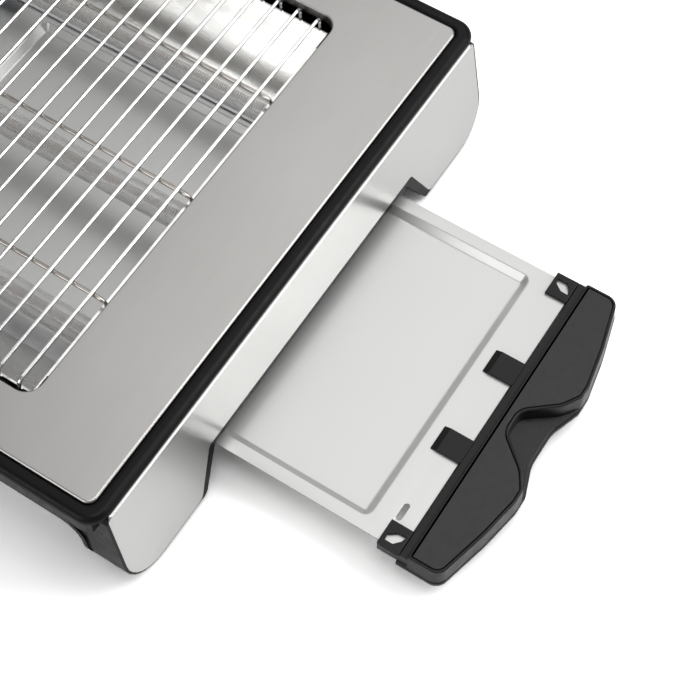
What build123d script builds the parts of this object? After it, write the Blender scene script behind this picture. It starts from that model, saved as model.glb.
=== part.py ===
from build123d import *
import os
from math import cos, hypot, radians, sin, tan

os.makedirs("parts", exist_ok=True)

# Flat electric toaster: bread lies on a wire grille over three quartz heating tubes.
# +Z is up and z = 0 is the table. +X is the way the crumb tray pulls out.
# The origin is under the middle of the toaster's whole length, with the tray as it stands at rest.

# Driving dimensions, in millimetres and degrees

# Top plate and the opening in it
plate_length = 298.0
plate_width = 222.0
plate_sheet = 0.8
plate_corner = 3.5
plate_roll = 1.0
plate_lip = 3.0
opening_inset = 39.0
opening_border = 20.0
control_space = 75.0
opening_length = plate_length - opening_inset - control_space
opening_width = plate_width - 2 * opening_border
opening_corner = 6.0
opening_flange = 4.0
opening_roll = 0.6

# Black frame round the plate
frame_width = 5.6
frame_depth = 9.0
frame_bead = 2.6
frame_inner_round = 1.2
frame_corner = 7.5
frame_ledge = 3.0
frame_gap = 0.3
frame_drop = 0.2
frame_tongue = 2.6

# End caps and end panels, seen from the end
end_drop = 3.2
end_lean = 7.2
end_reach = 5.8
end_draft = 2.2
end_half_top = plate_width / 2
end_half_low = end_half_top + end_draft
leg_depth = 48.9
leg_round = 14.5
leg_width = 38.2
leg_inner = end_half_low - leg_width
leg_inner_round = 3.0
panel_top_round = 2.0
notch_slope = 10.5
notch_half = leg_inner - notch_slope
notch_depth = 28.4
notch_round = 2.5
arch_depth = 43.2
arch_slope = 5.0
arch_half = leg_inner - arch_slope
panel_sheet = 1.0
panel_seat = 0.8
panel_fit = 0.15
cap_border = 1.2
cap_notch_border = 3.0
cap_wall = 2.4
cap_depth = 8.8

# Side rails
rail_inset = 0.8
rail_wall = 2.5
rail_depth = 24.0
rail_ledge = 12.0
rail_ledge_thickness = 2.0
rail_leg_length = 2.0
rail_leg_lean = 3.0
rail_sweep = 9.0
rail_lip = 0.8
rail_lip_height = 1.6

# Rubber feet
foot_radius = 5.0
foot_stem_radius = 2.5
foot_stem_length = 4.0
foot_stem_fit = 0.1
foot_inset = 27.2
foot_y = end_half_low - foot_inset
foot_in_cap = 6.8
foot_edge = 0.8
foot_height = 2.7

# Base pan
pan_sheet = 0.8
pan_depth = 44.2
pan_flange_inset = 3.7
pan_slope_inset = 15.2
pan_vent_length = 30.0
pan_vent_width = 4.0
pan_vent_pitch = 12.0
pan_vent_rows = 5
pan_vent_from_cap = 22.0

# Crumb tray sheet
tray_notch_gap = 4.8
tray_half_width = notch_half - tray_notch_gap
tray_sheet = 0.6
tray_depth = 36.3
tray_front = 88.0
tray_beyond = 16.0
tray_recess_depth = 2.8
tray_rim = 5.7
tray_recess_half = tray_half_width - tray_rim
tray_recess_front = 64.5
tray_recess_beyond = 4.5
tray_recess_slope = 2.0
tray_recess_corner = 4.0
tray_corner = 2.0
tray_slot_length = 7.0
tray_slot_width = 2.2
tray_slot_x = 74.9
tray_slot_inset = 12.6
tray_slot_y = tray_slot_inset - tray_half_width

# Tray travel from where the tray stands at rest
tray_push_in = 74.0
tray_length = tray_front - tray_push_in + opening_inset + opening_length + tray_beyond
tray_recess_length = (
    tray_recess_front - tray_push_in + opening_inset + opening_length + tray_recess_beyond
)

# Tray handle: half outlines from above, as places beyond the plate's edge and out from the middle
handle_half = tray_half_width + 1.5
ledge_half = tray_half_width + 2.3
bow_shoulder = 20.2
bow_crest = 35.7
dip_half = 4.6
upper_bow = [
    (85.0, 0.0),
    (85.0, handle_half),
    (97.2, handle_half),
    (102.4, handle_half - bow_shoulder),
    (105.2, handle_half - bow_crest),
    (105.2, dip_half + 16.0),
    (101.2, dip_half + 9.4),
    (89.9, dip_half),
    (89.9, 0.0),
]
upper_bow_rounds = [0.8, 4.5, 60.0, 8.0, 3.0, 12.0, 6.0]
lower_bow = [
    (81.0, 0.0),
    (81.0, ledge_half),
    (97.8, ledge_half),
    (103.2, handle_half - bow_shoulder),
    (106.0, handle_half - bow_crest),
    (106.0, dip_half + 14.0),
    (101.9, dip_half + 2.4),
    (101.9, 0.0),
]
lower_bow_rounds = [0.8, 4.8, 60.0, 8.0, 5.0, 14.0]
handle_back = 85.0
handle_top = 3.5
handle_ledge_top = -4.0
handle_bottom = -7.0
handle_taper = 4.0
cover_thickness = 1.6
cover_inset = 1.0
cover_fit = 0.1
cover_edge = 0.3
grip_wall = 2.2
bar_back = 81.0
bar_front = 91.0
bar_top = 1.4
tab_back = 71.2
tab_depth = 8.1
tab_inner = tray_half_width - tab_depth
tab_skirt_bottom = -4.6
tab_hole = [(73.6, 0.7), (73.6, 2.7), (77.0, 4.8), (80.6, 5.0), (79.8, 2.9), (77.6, 0.7)]
clip_back = 69.9
clip_inner = 12.6
clip_outer = 22.4
clip_bevel = 1.2
grip_slot_fit = 0.05
handle_screw_x = 84.5
handle_screw_inset = 19.7
handle_screw_y = tray_half_width - handle_screw_inset
handle_screw_length = 6.1

# Tray runners
runner_sheet = 0.8
runner_side_gap = 0.3
runner_play = 0.06
runner_top_gap = 0.3
runner_lip = 2.5
runner_lip_inner = tray_half_width - runner_lip
runner_flange = 6.3
runner_flange_outer = tray_half_width + runner_flange
runner_front_gap = 2.2
runner_back_gap = 6.0

# Reflector well
well_sheet = 0.6
well_top_gap = 3.8
well_top_half = opening_width / 2 - well_top_gap
well_top_drop = 5.6
well_bottom_gap = 4.7
well_bottom_half = tray_half_width + well_bottom_gap
well_end_inset = 2.7
well_flange = 9.5
well_flange_inset = 11.0
well_flange_half = opening_width / 2 - well_flange_inset
well_tube_fit = 0.5

# Grille
wire_diameter = 1.5
wire_count = 21
wire_end_gap = 6.64
wire_pitch = (opening_length - 2 * wire_end_gap) / (wire_count - 1)
wire_side_gap = 2.1
wire_half_span = opening_width / 2 - wire_side_gap
wire_bend = 1.6
wire_leg = 12.0
rod_diameter = 1.6
rod_side_gap = 41.94
rod_spacing = opening_width / 2 - rod_side_gap
rod_bend = 2.2
rod_leg = 9.0
rod_end_inset = 1.3
rod_hole_fit = 0.03
weld_gap = 0.04

# Heating tubes
tube_diameter = 10.0
tube_bore = 8.0
tube_depth = 20.0
tube_side_gap = 9.4
tube_spacing = well_bottom_half - tube_side_gap
coil_diameter = 5.0
lead_diameter = 1.6
ceramic_diameter = 13.0
ceramic_length = 12.0
ceramic_socket = 6.0
ceramic_fit = 0.06
ceramic_behind = 3.0
ceramic_edge = 0.8
lead_fit = 0.04
lead_tail = 5.0
coil_clear = 3.0

# Tube brackets and bus bars
bracket_sheet = 1.0
bracket_from_opening = 6.0
bracket_side_gap = 7.0
bracket_half_outer = opening_width / 2 - bracket_side_gap
bracket_runner_gap = 0.5
bracket_foot = 3.5
bracket_foot_inner = runner_flange_outer + bracket_runner_gap
bracket_arch_depth = 33.4
bracket_pan_gap = 0.6
bus_thickness = 0.8
bus_height = 5.0
bus_beyond_tube = 6.0
bus_half = tube_spacing + bus_beyond_tube
bus_from_ceramic = 1.6

# Timer, knob and lamp on the control end
timer_y = -42.0
timer_depth = 24.5
timer_width = 40.0
timer_height = 32.0
timer_length = 28.0
timer_round = 3.0
shaft_diameter = 6.0
shaft_flat = 1.5
shaft_fit = 0.05
bush_diameter = 10.0
bush_length = 13.0
shaft_root = 2.0
shaft_end_gap = 0.5
knob_diameter = 34.0
knob_skirt = 3.0
knob_length = 15.0
knob_face = 15.0
knob_edge = 1.2
knob_gap = 0.6
knob_bar_width = 9.0
knob_taper = 3.0
knob_cone = 25.0
knob_shell = 2.0
knob_bore_depth = 11.0
knob_line_width = 1.2
knob_line_depth = 0.5
seat_fit = 0.05
lamp_y = 4.0
lamp_depth = 24.5
lens_diameter = 7.0
lens_proud = 1.6
lens_edge = 0.8
lamp_length = 16.0
lamp_diameter = 9.0

# Cord inlet, terminal block and thermal fuse
gland_inset = 29.2
gland_y = end_half_low - gland_inset
gland_depth = 25.0
gland_bore = 7.0
gland_neck = 12.0
gland_flange = 17.0
gland_flange_length = 3.0
gland_tail = 11.0
gland_inner = 9.0
terminal_length = 26.0
terminal_width = 16.0
terminal_height = 13.0
terminal_y = 44.0
terminal_from_cap = 11.0
terminal_hole = 2.8
terminal_entry = 4.0
terminal_screw = 4.2
terminal_screw_depth = 3.0
terminal_pitch = 12.0
fuse_diameter = 4.0
fuse_length = 14.0
wire_insulation = 2.6
wire_turn = 4.0
wire_run = 11.0
wire_depth = 34.0
side_wire_gap = 4.0
side_wire_y = opening_width / 2 - side_wire_gap

# Screws
screw_head = 6.0
screw_head_height = 1.8
screw_shank = 3.0
screw_hole_fit = 0.1
base_screw_length = 8.0
base_screw_inset = 9.2
base_screw_y = end_half_low - base_screw_inset
base_screw_pitch = plate_length / 3

# Overall places, worked out from the sizes above
lean = radians(end_lean)
rail_grow = cap_border - rail_inset
plate_height = foot_height + rail_grow + leg_depth
panel_reach = end_reach + panel_sheet - panel_seat
knob_back_reach = panel_reach + (timer_depth + knob_diameter / 2) * tan(lean) + knob_gap
knob_reach = knob_back_reach + knob_length
handle_reach = max(x for x, y in lower_bow)
overall_length = handle_reach + plate_length + knob_reach
tray_edge = overall_length / 2 - handle_reach
control_edge = tray_edge - plate_length
plate_middle = (tray_edge + control_edge) / 2
opening_end = tray_edge - opening_inset
opening_far = opening_end - opening_length
opening_middle = (opening_end + opening_far) / 2
tray_top = plate_height - tray_depth
pan_floor = plate_height - pan_depth + pan_sheet
pan_half_floor = bracket_foot_inner + bracket_foot
pan_half_flange = end_half_low - pan_flange_inset
pan_half_slope = end_half_low - pan_slope_inset
rail_bottom = plate_height - rail_depth
frame_bottom = plate_height - frame_depth
tube_height = plate_height - tube_depth
sole_bottom = foot_height
cap_sole = sole_bottom - rail_inset
tray_under = tray_top - tray_sheet
runner_shelf_top = tray_under - runner_play
runner_top = tray_top + runner_top_gap + runner_sheet
well_top = plate_height - well_top_drop
well_length = opening_length - 2 * well_end_inset
well_side_run = hypot(well_top_half - well_bottom_half, well_top - runner_top)
well_side_sheet = well_sheet * well_side_run / (well_top - runner_top)
base_screw_places = [plate_middle + step * base_screw_pitch for step in (-1, 0, 1)]


def finish(piece, name):
    """Names a finished piece and writes it to its own file."""
    piece.label = name
    export_step(piece, f"parts/{name}.step")


def cap_back(end):
    """The upright plane where an end cap meets the rails: x for end 1 (tray) or -1 (control)."""
    return plate_middle + end * (plate_length / 2 + end_reach - cap_depth)


def foot_x(end):
    """Where the feet stand along the length at one end."""
    return cap_back(end) + end * foot_in_cap


def end_plane(end, inset=0.0):
    """The leaning plane of an end panel, its origin level with the plate's top."""
    return Plane(
        origin=(plate_middle + end * (plate_length / 2 + end_reach - inset), 0, plate_height),
        x_dir=(0, end, 0),
        z_dir=(end * cos(lean), 0, sin(lean)),
    )


def end_outline(grow, foot_inner, cut_half, cut_depth):
    """Outline of an end: straight top, drafted sides, round feet and a notch between the legs."""
    top = -end_drop / cos(lean)
    bottom = -(leg_depth + grow) / cos(lean)
    cut = -cut_depth / cos(lean)
    with BuildLine() as outline:
        FilletPolyline(
            (0, top),
            (end_half_top + grow, top),
            (end_half_low + grow, bottom),
            (foot_inner, bottom),
            (cut_half, cut),
            (0, cut),
            radius=[panel_top_round, leg_round + grow, leg_inner_round, notch_round],
        )
        mirror(about=Plane.YZ)
    make_face(outline.edges())


def panel_outline(end, grow=0.0):
    """Outline of a steel end panel: the tray end has the deep notch, the control end a low arch."""
    if end > 0:
        end_outline(grow, leg_inner - grow, notch_half - grow, notch_depth + grow)
    else:
        end_outline(grow, leg_inner - grow, arch_half - grow, arch_depth + grow)


def cap_outline(end, grow=0.0):
    """Outline of a black end cap, which shows as a border round its panel."""
    cut = cap_notch_border + grow
    if end > 0:
        end_outline(cap_border + grow, leg_inner - cut, notch_half - cut, notch_depth + cut)
    else:
        end_outline(cap_border + grow, leg_inner - cut, arch_half - cut, arch_depth + cut)


def panel_face_x(end, depth):
    """Where the leaning face of an end stands, at a depth below the plate's top."""
    return plate_middle + end * (plate_length / 2 + panel_reach + depth * tan(lean))


# Top plate: thin steel with a rolled outer edge and a turned-down flange round the opening

with BuildPart() as top_plate:
    with BuildSketch(Plane.XY.offset(plate_height - plate_lip)):
        with Locations((plate_middle, 0)):
            RectangleRounded(plate_length, plate_width, plate_corner)
    extrude(amount=plate_lip)
    fillet(top_plate.edges().group_by(Axis.Z)[-1], plate_roll)
    with BuildSketch(Plane.XY.offset(plate_height - plate_lip)):
        with Locations((plate_middle, 0)):
            RectangleRounded(
                plate_length - 2 * plate_sheet, plate_width - 2 * plate_sheet, plate_corner - plate_sheet
            )
    extrude(amount=plate_lip - plate_sheet, mode=Mode.SUBTRACT)
    with BuildSketch(Plane.XY.offset(plate_height - opening_flange)):
        with Locations((opening_middle, 0)):
            RectangleRounded(
                opening_length + 2 * plate_sheet,
                opening_width + 2 * plate_sheet,
                opening_corner + plate_sheet,
            )
    extrude(amount=opening_flange - plate_sheet / 2)
    with BuildSketch(Plane.XY.offset(plate_height - opening_flange)):
        with Locations((opening_middle, 0)):
            RectangleRounded(opening_length, opening_width, opening_corner)
    extrude(amount=opening_flange, mode=Mode.SUBTRACT)
    opening_rim = top_plate.edges().group_by(Axis.Z)[-1].filter_by(
        lambda edge: abs(edge.center().Y) < opening_width / 2 + 1
        and abs(edge.center().X - opening_middle) < opening_length / 2 + 1
    )
    fillet(opening_rim, opening_roll)
finish(top_plate.part, "top_plate")


# Top frame: black moulding with a rounded bead, a ledge under the plate and tongues into the end caps

with BuildPart() as top_frame:
    with BuildSketch(Plane.XY.offset(frame_bottom)):
        with Locations((plate_middle, 0)):
            RectangleRounded(
                plate_length + 2 * frame_width, plate_width + 2 * frame_width, frame_corner
            )
    extrude(amount=frame_depth - frame_drop)
    fillet(top_frame.edges().group_by(Axis.Z)[-1], frame_bead)
    with BuildSketch(Plane.XY.offset(plate_height - plate_lip)):
        with Locations((plate_middle, 0)):
            RectangleRounded(
                plate_length + 2 * frame_gap, plate_width + 2 * frame_gap, plate_corner + frame_gap
            )
    extrude(amount=plate_lip, mode=Mode.SUBTRACT)
    fillet(
        top_frame.edges().group_by(Axis.Z)[-1].filter_by(
            lambda edge: abs(edge.center().Y) < plate_width / 2 + frame_gap + 0.1
            and abs(edge.center().X - plate_middle) < plate_length / 2 + frame_gap + 0.1
        ),
        frame_inner_round,
    )
    with BuildSketch(Plane.XY.offset(frame_bottom)):
        with Locations((plate_middle, 0)):
            Rectangle(plate_length - 2 * frame_ledge, plate_width - 2 * frame_ledge)
    extrude(amount=frame_depth, mode=Mode.SUBTRACT)
    for end in (1, -1):
        with BuildSketch(Plane.XY.offset(frame_bottom)):
            with Locations((plate_middle + end * (plate_length / 2 + frame_tongue + frame_width / 2), 0)):
                Rectangle(frame_width, plate_width + 4 * frame_width)
        extrude(amount=frame_depth - end_drop, mode=Mode.SUBTRACT)
finish(top_frame.part, "top_frame")


# End caps: hollow black mouldings that lean out towards the table, each with a seat for its panel


def end_cap(end):
    """One end cap, open at the back and round the notch."""
    with BuildPart() as cap:
        with BuildSketch(end_plane(end)):
            cap_outline(end)
        extrude(amount=cap_depth + leg_depth, dir=(-end, 0, 0))
        split(bisect_by=Plane.YZ.offset(cap_back(end)), keep=Keep.TOP if end > 0 else Keep.BOTTOM)
        with BuildSketch(end_plane(end, inset=cap_wall)):
            cap_outline(end, grow=-cap_wall)
        extrude(amount=cap_depth + leg_depth, dir=(-end, 0, 0), mode=Mode.SUBTRACT)
        with BuildSketch(end_plane(end)):
            panel_outline(end, grow=panel_fit)
        extrude(amount=panel_seat, dir=(-end, 0, 0), mode=Mode.SUBTRACT)
        tongue_x = plate_middle + end * (plate_length / 2 + frame_tongue + frame_gap)
        back_x = cap_back(end)
        with BuildSketch(Plane.XY.offset(frame_bottom - frame_gap)):
            with Locations(((tongue_x + back_x) / 2, 0)):
                Rectangle(abs(tongue_x - back_x), plate_width + 2 * frame_width)
        extrude(amount=frame_depth, mode=Mode.SUBTRACT)
        with BuildSketch(Plane.XY.offset(cap_sole)):
            with Locations(*[(foot_x(end), side * foot_y) for side in (-1, 1)]):
                Circle(foot_stem_radius + foot_stem_fit)
        extrude(amount=cap_wall, mode=Mode.SUBTRACT)
        if end < 0:
            with BuildSketch(Plane.YZ.offset(back_x)):
                with Locations((timer_y, plate_height - timer_depth)):
                    Circle(bush_diameter / 2 + seat_fit)
                with Locations((lamp_y, plate_height - lamp_depth)):
                    Circle(lens_diameter / 2 + seat_fit)
                with Locations((gland_y, plate_height - gland_depth)):
                    Circle(gland_neck / 2 + seat_fit)
            extrude(amount=-cap_depth - leg_depth * tan(lean), mode=Mode.SUBTRACT)
    return cap.part


def end_panel(end):
    """One stainless end panel, seated in its cap."""
    with BuildPart() as panel:
        with BuildSketch(end_plane(end, inset=end_reach - panel_reach)):
            panel_outline(end)
        extrude(amount=panel_sheet, dir=(-end, 0, 0))
        if end < 0:
            with BuildSketch(Plane.YZ.offset(cap_back(end))):
                with Locations((timer_y, plate_height - timer_depth)):
                    Circle(bush_diameter / 2 + frame_gap)
                with Locations((lamp_y, plate_height - lamp_depth)):
                    Circle(lens_diameter / 2 + frame_gap)
                with Locations((gland_y, plate_height - gland_depth)):
                    Circle(gland_neck / 2 + frame_gap)
            extrude(amount=-cap_depth - leg_depth * tan(lean), mode=Mode.SUBTRACT)
    return panel.part


tray_end_cap = end_cap(1)
finish(tray_end_cap, "tray_end_cap")
tray_end_panel = end_panel(1)
finish(tray_end_panel, "tray_end_panel")
control_end_cap = end_cap(-1)
finish(control_end_cap, "control_end_cap")
control_end_panel = end_panel(-1)
finish(control_end_panel, "control_end_panel")


# Side rails: black walls between the end caps, swept down into the legs, with a thin lip along the edge


def rail_half(depth):
    """Half the width over a rail at a depth, on its straight drafted side."""
    draft = (end_half_low - end_half_top) / (leg_depth - end_drop)
    return end_half_top + rail_grow + draft * (depth - end_drop)


def rail_section(side, grow):
    """Section of a rail: a drafted wall that turns under into a sole at the bottom of the leg."""
    bottom = sole_bottom - plate_height - grow
    with BuildLine() as outline:
        FilletPolyline(
            (side * (rail_half(frame_depth) - rail_wall), -frame_depth),
            (side * (rail_half(frame_depth) + grow), -frame_depth),
            (side * (rail_half(leg_depth) + grow), bottom),
            (side * leg_inner, bottom),
            (side * leg_inner, bottom + rail_wall),
            (side * (rail_half(leg_depth) - rail_wall), bottom + rail_wall),
            radius=[0, 0, leg_round + grow, 0, 0, leg_round - rail_wall],
            close=True,
        )
    make_face(outline.edges())


def rail_arch(lift):
    """The space under a rail between its legs, seen from the side."""
    start = cap_back(-1) + rail_leg_length - lift
    stop = cap_back(1) - rail_leg_length + lift
    with BuildLine() as outline:
        FilletPolyline(
            (start, 0),
            (start + rail_leg_lean, rail_bottom + lift),
            (stop - rail_leg_lean, rail_bottom + lift),
            (stop, 0),
            radius=[rail_sweep, rail_sweep],
        )
        Line((stop, 0), (start, 0))
    make_face(outline.edges())


def side_rail(side):
    """One side rail: side is -1 at the front and 1 at the back."""
    rail_length = cap_back(1) - cap_back(-1)
    with BuildPart() as lip:
        with BuildSketch(Plane(origin=(cap_back(-1), 0, plate_height), x_dir=(0, 1, 0), z_dir=(1, 0, 0))):
            rail_section(side, rail_lip)
        extrude(amount=rail_length)
        with BuildSketch(Plane.XZ):
            rail_arch(rail_lip_height)
        extrude(amount=plate_width, both=True, mode=Mode.INTERSECT)
    with BuildPart() as rail:
        with BuildSketch(Plane(origin=(cap_back(-1), 0, plate_height), x_dir=(0, 1, 0), z_dir=(1, 0, 0))):
            rail_section(side, 0)
        extrude(amount=rail_length)
        with BuildSketch(Plane.XY.offset(rail_bottom)):
            with Locations((plate_middle, side * (rail_half(rail_depth) - rail_ledge / 2 - rail_wall / 2))):
                Rectangle(rail_length, rail_ledge)
        extrude(amount=rail_ledge_thickness)
        add(lip.part)
        with BuildSketch(Plane.XZ):
            rail_arch(0)
        extrude(amount=plate_width, both=True, mode=Mode.SUBTRACT)
        with BuildSketch(Plane.XY.offset(rail_bottom)):
            with Locations(*[(x, side * base_screw_y) for x in base_screw_places]):
                Circle(screw_shank / 2 + screw_hole_fit)
        extrude(amount=rail_ledge_thickness, mode=Mode.SUBTRACT)
    return rail.part


front_side_rail = side_rail(-1)
finish(front_side_rail, "front_side_rail")
back_side_rail = side_rail(1)
finish(back_side_rail, "back_side_rail")


# Rubber feet: a pad with a stem pushed into the sole of each leg

foot_number = 0
for end in (1, -1):
    for side in (-1, 1):
        foot_number += 1
        with BuildPart() as foot:
            with BuildSketch():
                with Locations((foot_x(end), side * foot_y)):
                    Circle(foot_radius)
            extrude(amount=cap_sole)
            chamfer(foot.edges().group_by(Axis.Z)[0], foot_edge)
            with BuildSketch(Plane.XY.offset(cap_sole)):
                with Locations((foot_x(end), side * foot_y)):
                    Circle(foot_stem_radius)
            extrude(amount=foot_stem_length)
        finish(foot.part, f"rubber_foot_{foot_number}")


# Base pan: folded sheet under the well, flanged to the rails, with cooling slots at the control end

pan_length = cap_back(1) - cap_back(-1) - 2 * frame_gap
with BuildPart() as base_pan:
    with BuildSketch(Plane.YZ.offset(cap_back(-1) + frame_gap)):
        with BuildLine():
            Polyline(
                (-pan_half_flange, rail_bottom - pan_sheet / 2),
                (-pan_half_slope, rail_bottom - pan_sheet / 2),
                (-pan_half_floor, pan_floor - pan_sheet / 2),
                (pan_half_floor, pan_floor - pan_sheet / 2),
                (pan_half_slope, rail_bottom - pan_sheet / 2),
                (pan_half_flange, rail_bottom - pan_sheet / 2),
            )
        trace(line_width=pan_sheet)
    extrude(amount=pan_length)
    with BuildSketch(Plane.XY.offset(pan_floor)):
        with Locations((cap_back(-1) + pan_vent_from_cap, 0)):
            with GridLocations(pan_vent_length, pan_vent_pitch, 1, pan_vent_rows):
                SlotOverall(pan_vent_length, pan_vent_width)
        with Locations(*[(x, side * base_screw_y) for x in base_screw_places for side in (-1, 1)]):
            Circle(screw_shank / 2 + screw_hole_fit)
    extrude(amount=plate_height, both=True, mode=Mode.SUBTRACT)
finish(base_pan.part, "base_pan")

with BuildPart() as base_screws:
    with BuildSketch(Plane.XY.offset(rail_bottom - pan_sheet - screw_head_height)):
        with Locations(*[(x, side * base_screw_y) for x in base_screw_places for side in (-1, 1)]):
            Circle(screw_head / 2)
    extrude(amount=screw_head_height)
    with BuildSketch(Plane.XY.offset(rail_bottom - pan_sheet)):
        with Locations(*[(x, side * base_screw_y) for x in base_screw_places for side in (-1, 1)]):
            Circle(screw_shank / 2)
    extrude(amount=base_screw_length)
finish(base_screws.part, "base_screws")


# Crumb tray runners: folded sheet on the pan floor, with a shelf under each edge of the tray


def tray_runner(side):
    """One runner: side is -1 at the front and 1 at the back."""
    wall_y = tray_half_width + runner_side_gap
    front = cap_back(1) - runner_front_gap
    back = tray_edge + tray_front - tray_length - tray_push_in - runner_back_gap
    plates = [
        (wall_y, runner_flange_outer, pan_floor, runner_sheet),
        (wall_y, wall_y + runner_sheet, pan_floor, runner_top - pan_floor),
        (runner_lip_inner, wall_y + runner_sheet, runner_shelf_top - runner_sheet, runner_sheet),
        (runner_lip_inner, runner_flange_outer, runner_top - runner_sheet, runner_sheet),
    ]
    with BuildPart() as runner:
        with BuildSketch(Plane.YZ.offset(back)):
            for inner, outer, low, thick in plates:
                with Locations((side * (inner + outer) / 2, low + thick / 2)):
                    Rectangle(outer - inner, thick)
        extrude(amount=front - back)
    return runner.part


finish(tray_runner(-1), "front_tray_runner")
finish(tray_runner(1), "back_tray_runner")


# Reflector well: sheet sides that slope in to the tray, end walls round the tubes, flanges on the brackets


def well_section(grow):
    """Upright section of the well between its sloping sides."""
    with BuildLine() as outline:
        Polyline(
            (-well_top_half - grow, well_top),
            (-well_bottom_half - grow, runner_top),
            (well_bottom_half + grow, runner_top),
            (well_top_half + grow, well_top),
            close=True,
        )
    make_face(outline.edges())


def bracket_x(end):
    """The upright plane of a tube bracket."""
    return opening_middle + end * (opening_length / 2 + bracket_from_opening)


tube_places = [(step * tube_spacing, tube_height) for step in (-1, 0, 1)]
rod_places = [step * rod_spacing for step in (-1, 0, 1)]

with BuildPart() as reflector_well:
    with BuildSketch(Plane.YZ.offset(opening_middle - well_length / 2)):
        well_section(well_side_sheet)
    extrude(amount=well_length)
    with BuildSketch(Plane.YZ.offset(opening_middle - well_length / 2 + well_sheet)):
        well_section(0)
    extrude(amount=well_length - 2 * well_sheet, mode=Mode.SUBTRACT)
    with BuildSketch(Plane.XY.offset(well_top - well_sheet)):
        for end in (1, -1):
            with Locations((opening_middle + end * (well_length / 2 + well_flange / 2), 0)):
                Rectangle(well_flange, 2 * well_flange_half)
    extrude(amount=well_sheet)
    with BuildSketch(Plane.XY.offset(well_top - well_sheet)):
        for end in (1, -1):
            rod_x = opening_middle + end * (opening_length / 2 - rod_end_inset)
            with Locations(*[(rod_x, y) for y in rod_places]):
                Circle(rod_diameter / 2 + rod_hole_fit)
    extrude(amount=well_sheet, mode=Mode.SUBTRACT)
    with BuildSketch(Plane.YZ.offset(opening_middle)):
        with Locations(*tube_places):
            Circle(tube_diameter / 2 + well_tube_fit)
    extrude(amount=opening_length, both=True, mode=Mode.SUBTRACT)
finish(reflector_well.part, "reflector_well")


# Grille: cross wires with turned-down ends, welded on three rods whose ends go down into the well's flanges

with BuildPart() as wire:
    with BuildLine() as wire_path:
        Polyline(
            (0, -wire_half_span, plate_height - wire_leg),
            (0, -wire_half_span, plate_height - wire_bend),
            (0, -wire_half_span + wire_bend, plate_height),
            (0, wire_half_span - wire_bend, plate_height),
            (0, wire_half_span, plate_height - wire_bend),
            (0, wire_half_span, plate_height - wire_leg),
        )
    with BuildSketch(Plane.XY.offset(plate_height - wire_leg)):
        with Locations((0, -wire_half_span)):
            Circle(wire_diameter / 2)
    sweep(path=wire_path.line, transition=Transition.RIGHT)

first_wire_x = opening_middle + wire_pitch * (wire_count - 1) / 2
with BuildPart() as grille_wires:
    with Locations(*[(first_wire_x - wire_pitch * step, 0, 0) for step in range(wire_count)]):
        add(wire.part)
finish(grille_wires.part, "grille_wires")

rod_height = plate_height - wire_diameter / 2 - weld_gap - rod_diameter / 2
rod_half_span = opening_length / 2 - rod_end_inset
with BuildPart() as rod:
    with BuildLine() as rod_path:
        Polyline(
            (opening_middle - rod_half_span, 0, rod_height - rod_leg),
            (opening_middle - rod_half_span, 0, rod_height - rod_bend),
            (opening_middle - rod_half_span + rod_bend, 0, rod_height),
            (opening_middle + rod_half_span - rod_bend, 0, rod_height),
            (opening_middle + rod_half_span, 0, rod_height - rod_bend),
            (opening_middle + rod_half_span, 0, rod_height - rod_leg),
        )
    with BuildSketch(Plane.XY.offset(rod_height - rod_leg)):
        with Locations((opening_middle - rod_half_span, 0)):
            Circle(rod_diameter / 2)
    sweep(path=rod_path.line, transition=Transition.RIGHT)

with BuildPart() as grille_rods:
    with Locations(*[(0, y, 0) for y in rod_places]):
        add(rod.part)
finish(grille_rods.part, "grille_rods")


# Tube brackets: upright plates across the pan, arched over the tray, with a seat for each ceramic cap

for name, end in (("tray_end_tube_bracket", 1), ("control_end_tube_bracket", -1)):
    with BuildPart() as bracket:
        with BuildSketch(Plane.YZ.offset(bracket_x(end))):
            slope = (rail_bottom - pan_floor) / (pan_half_slope - pan_half_floor)
            corner_height = pan_floor + slope * (bracket_half_outer - pan_half_floor) + bracket_pan_gap
            with BuildLine() as outline:
                Polyline(
                    (0, well_top - well_sheet),
                    (bracket_half_outer, well_top - well_sheet),
                    (bracket_half_outer, corner_height),
                    (pan_half_floor - bracket_pan_gap, pan_floor),
                    (bracket_foot_inner, pan_floor),
                    (bracket_foot_inner, plate_height - bracket_arch_depth),
                    (0, plate_height - bracket_arch_depth),
                )
                mirror(about=Plane.YZ)
            make_face(outline.edges())
            with Locations(*tube_places):
                Circle(ceramic_diameter / 2 + ceramic_fit, mode=Mode.SUBTRACT)
        extrude(amount=bracket_sheet / 2, both=True)
    finish(bracket.part, name)


# Heating tubes: quartz tube, coil on its straight leads, and a ceramic cap at each end

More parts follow.
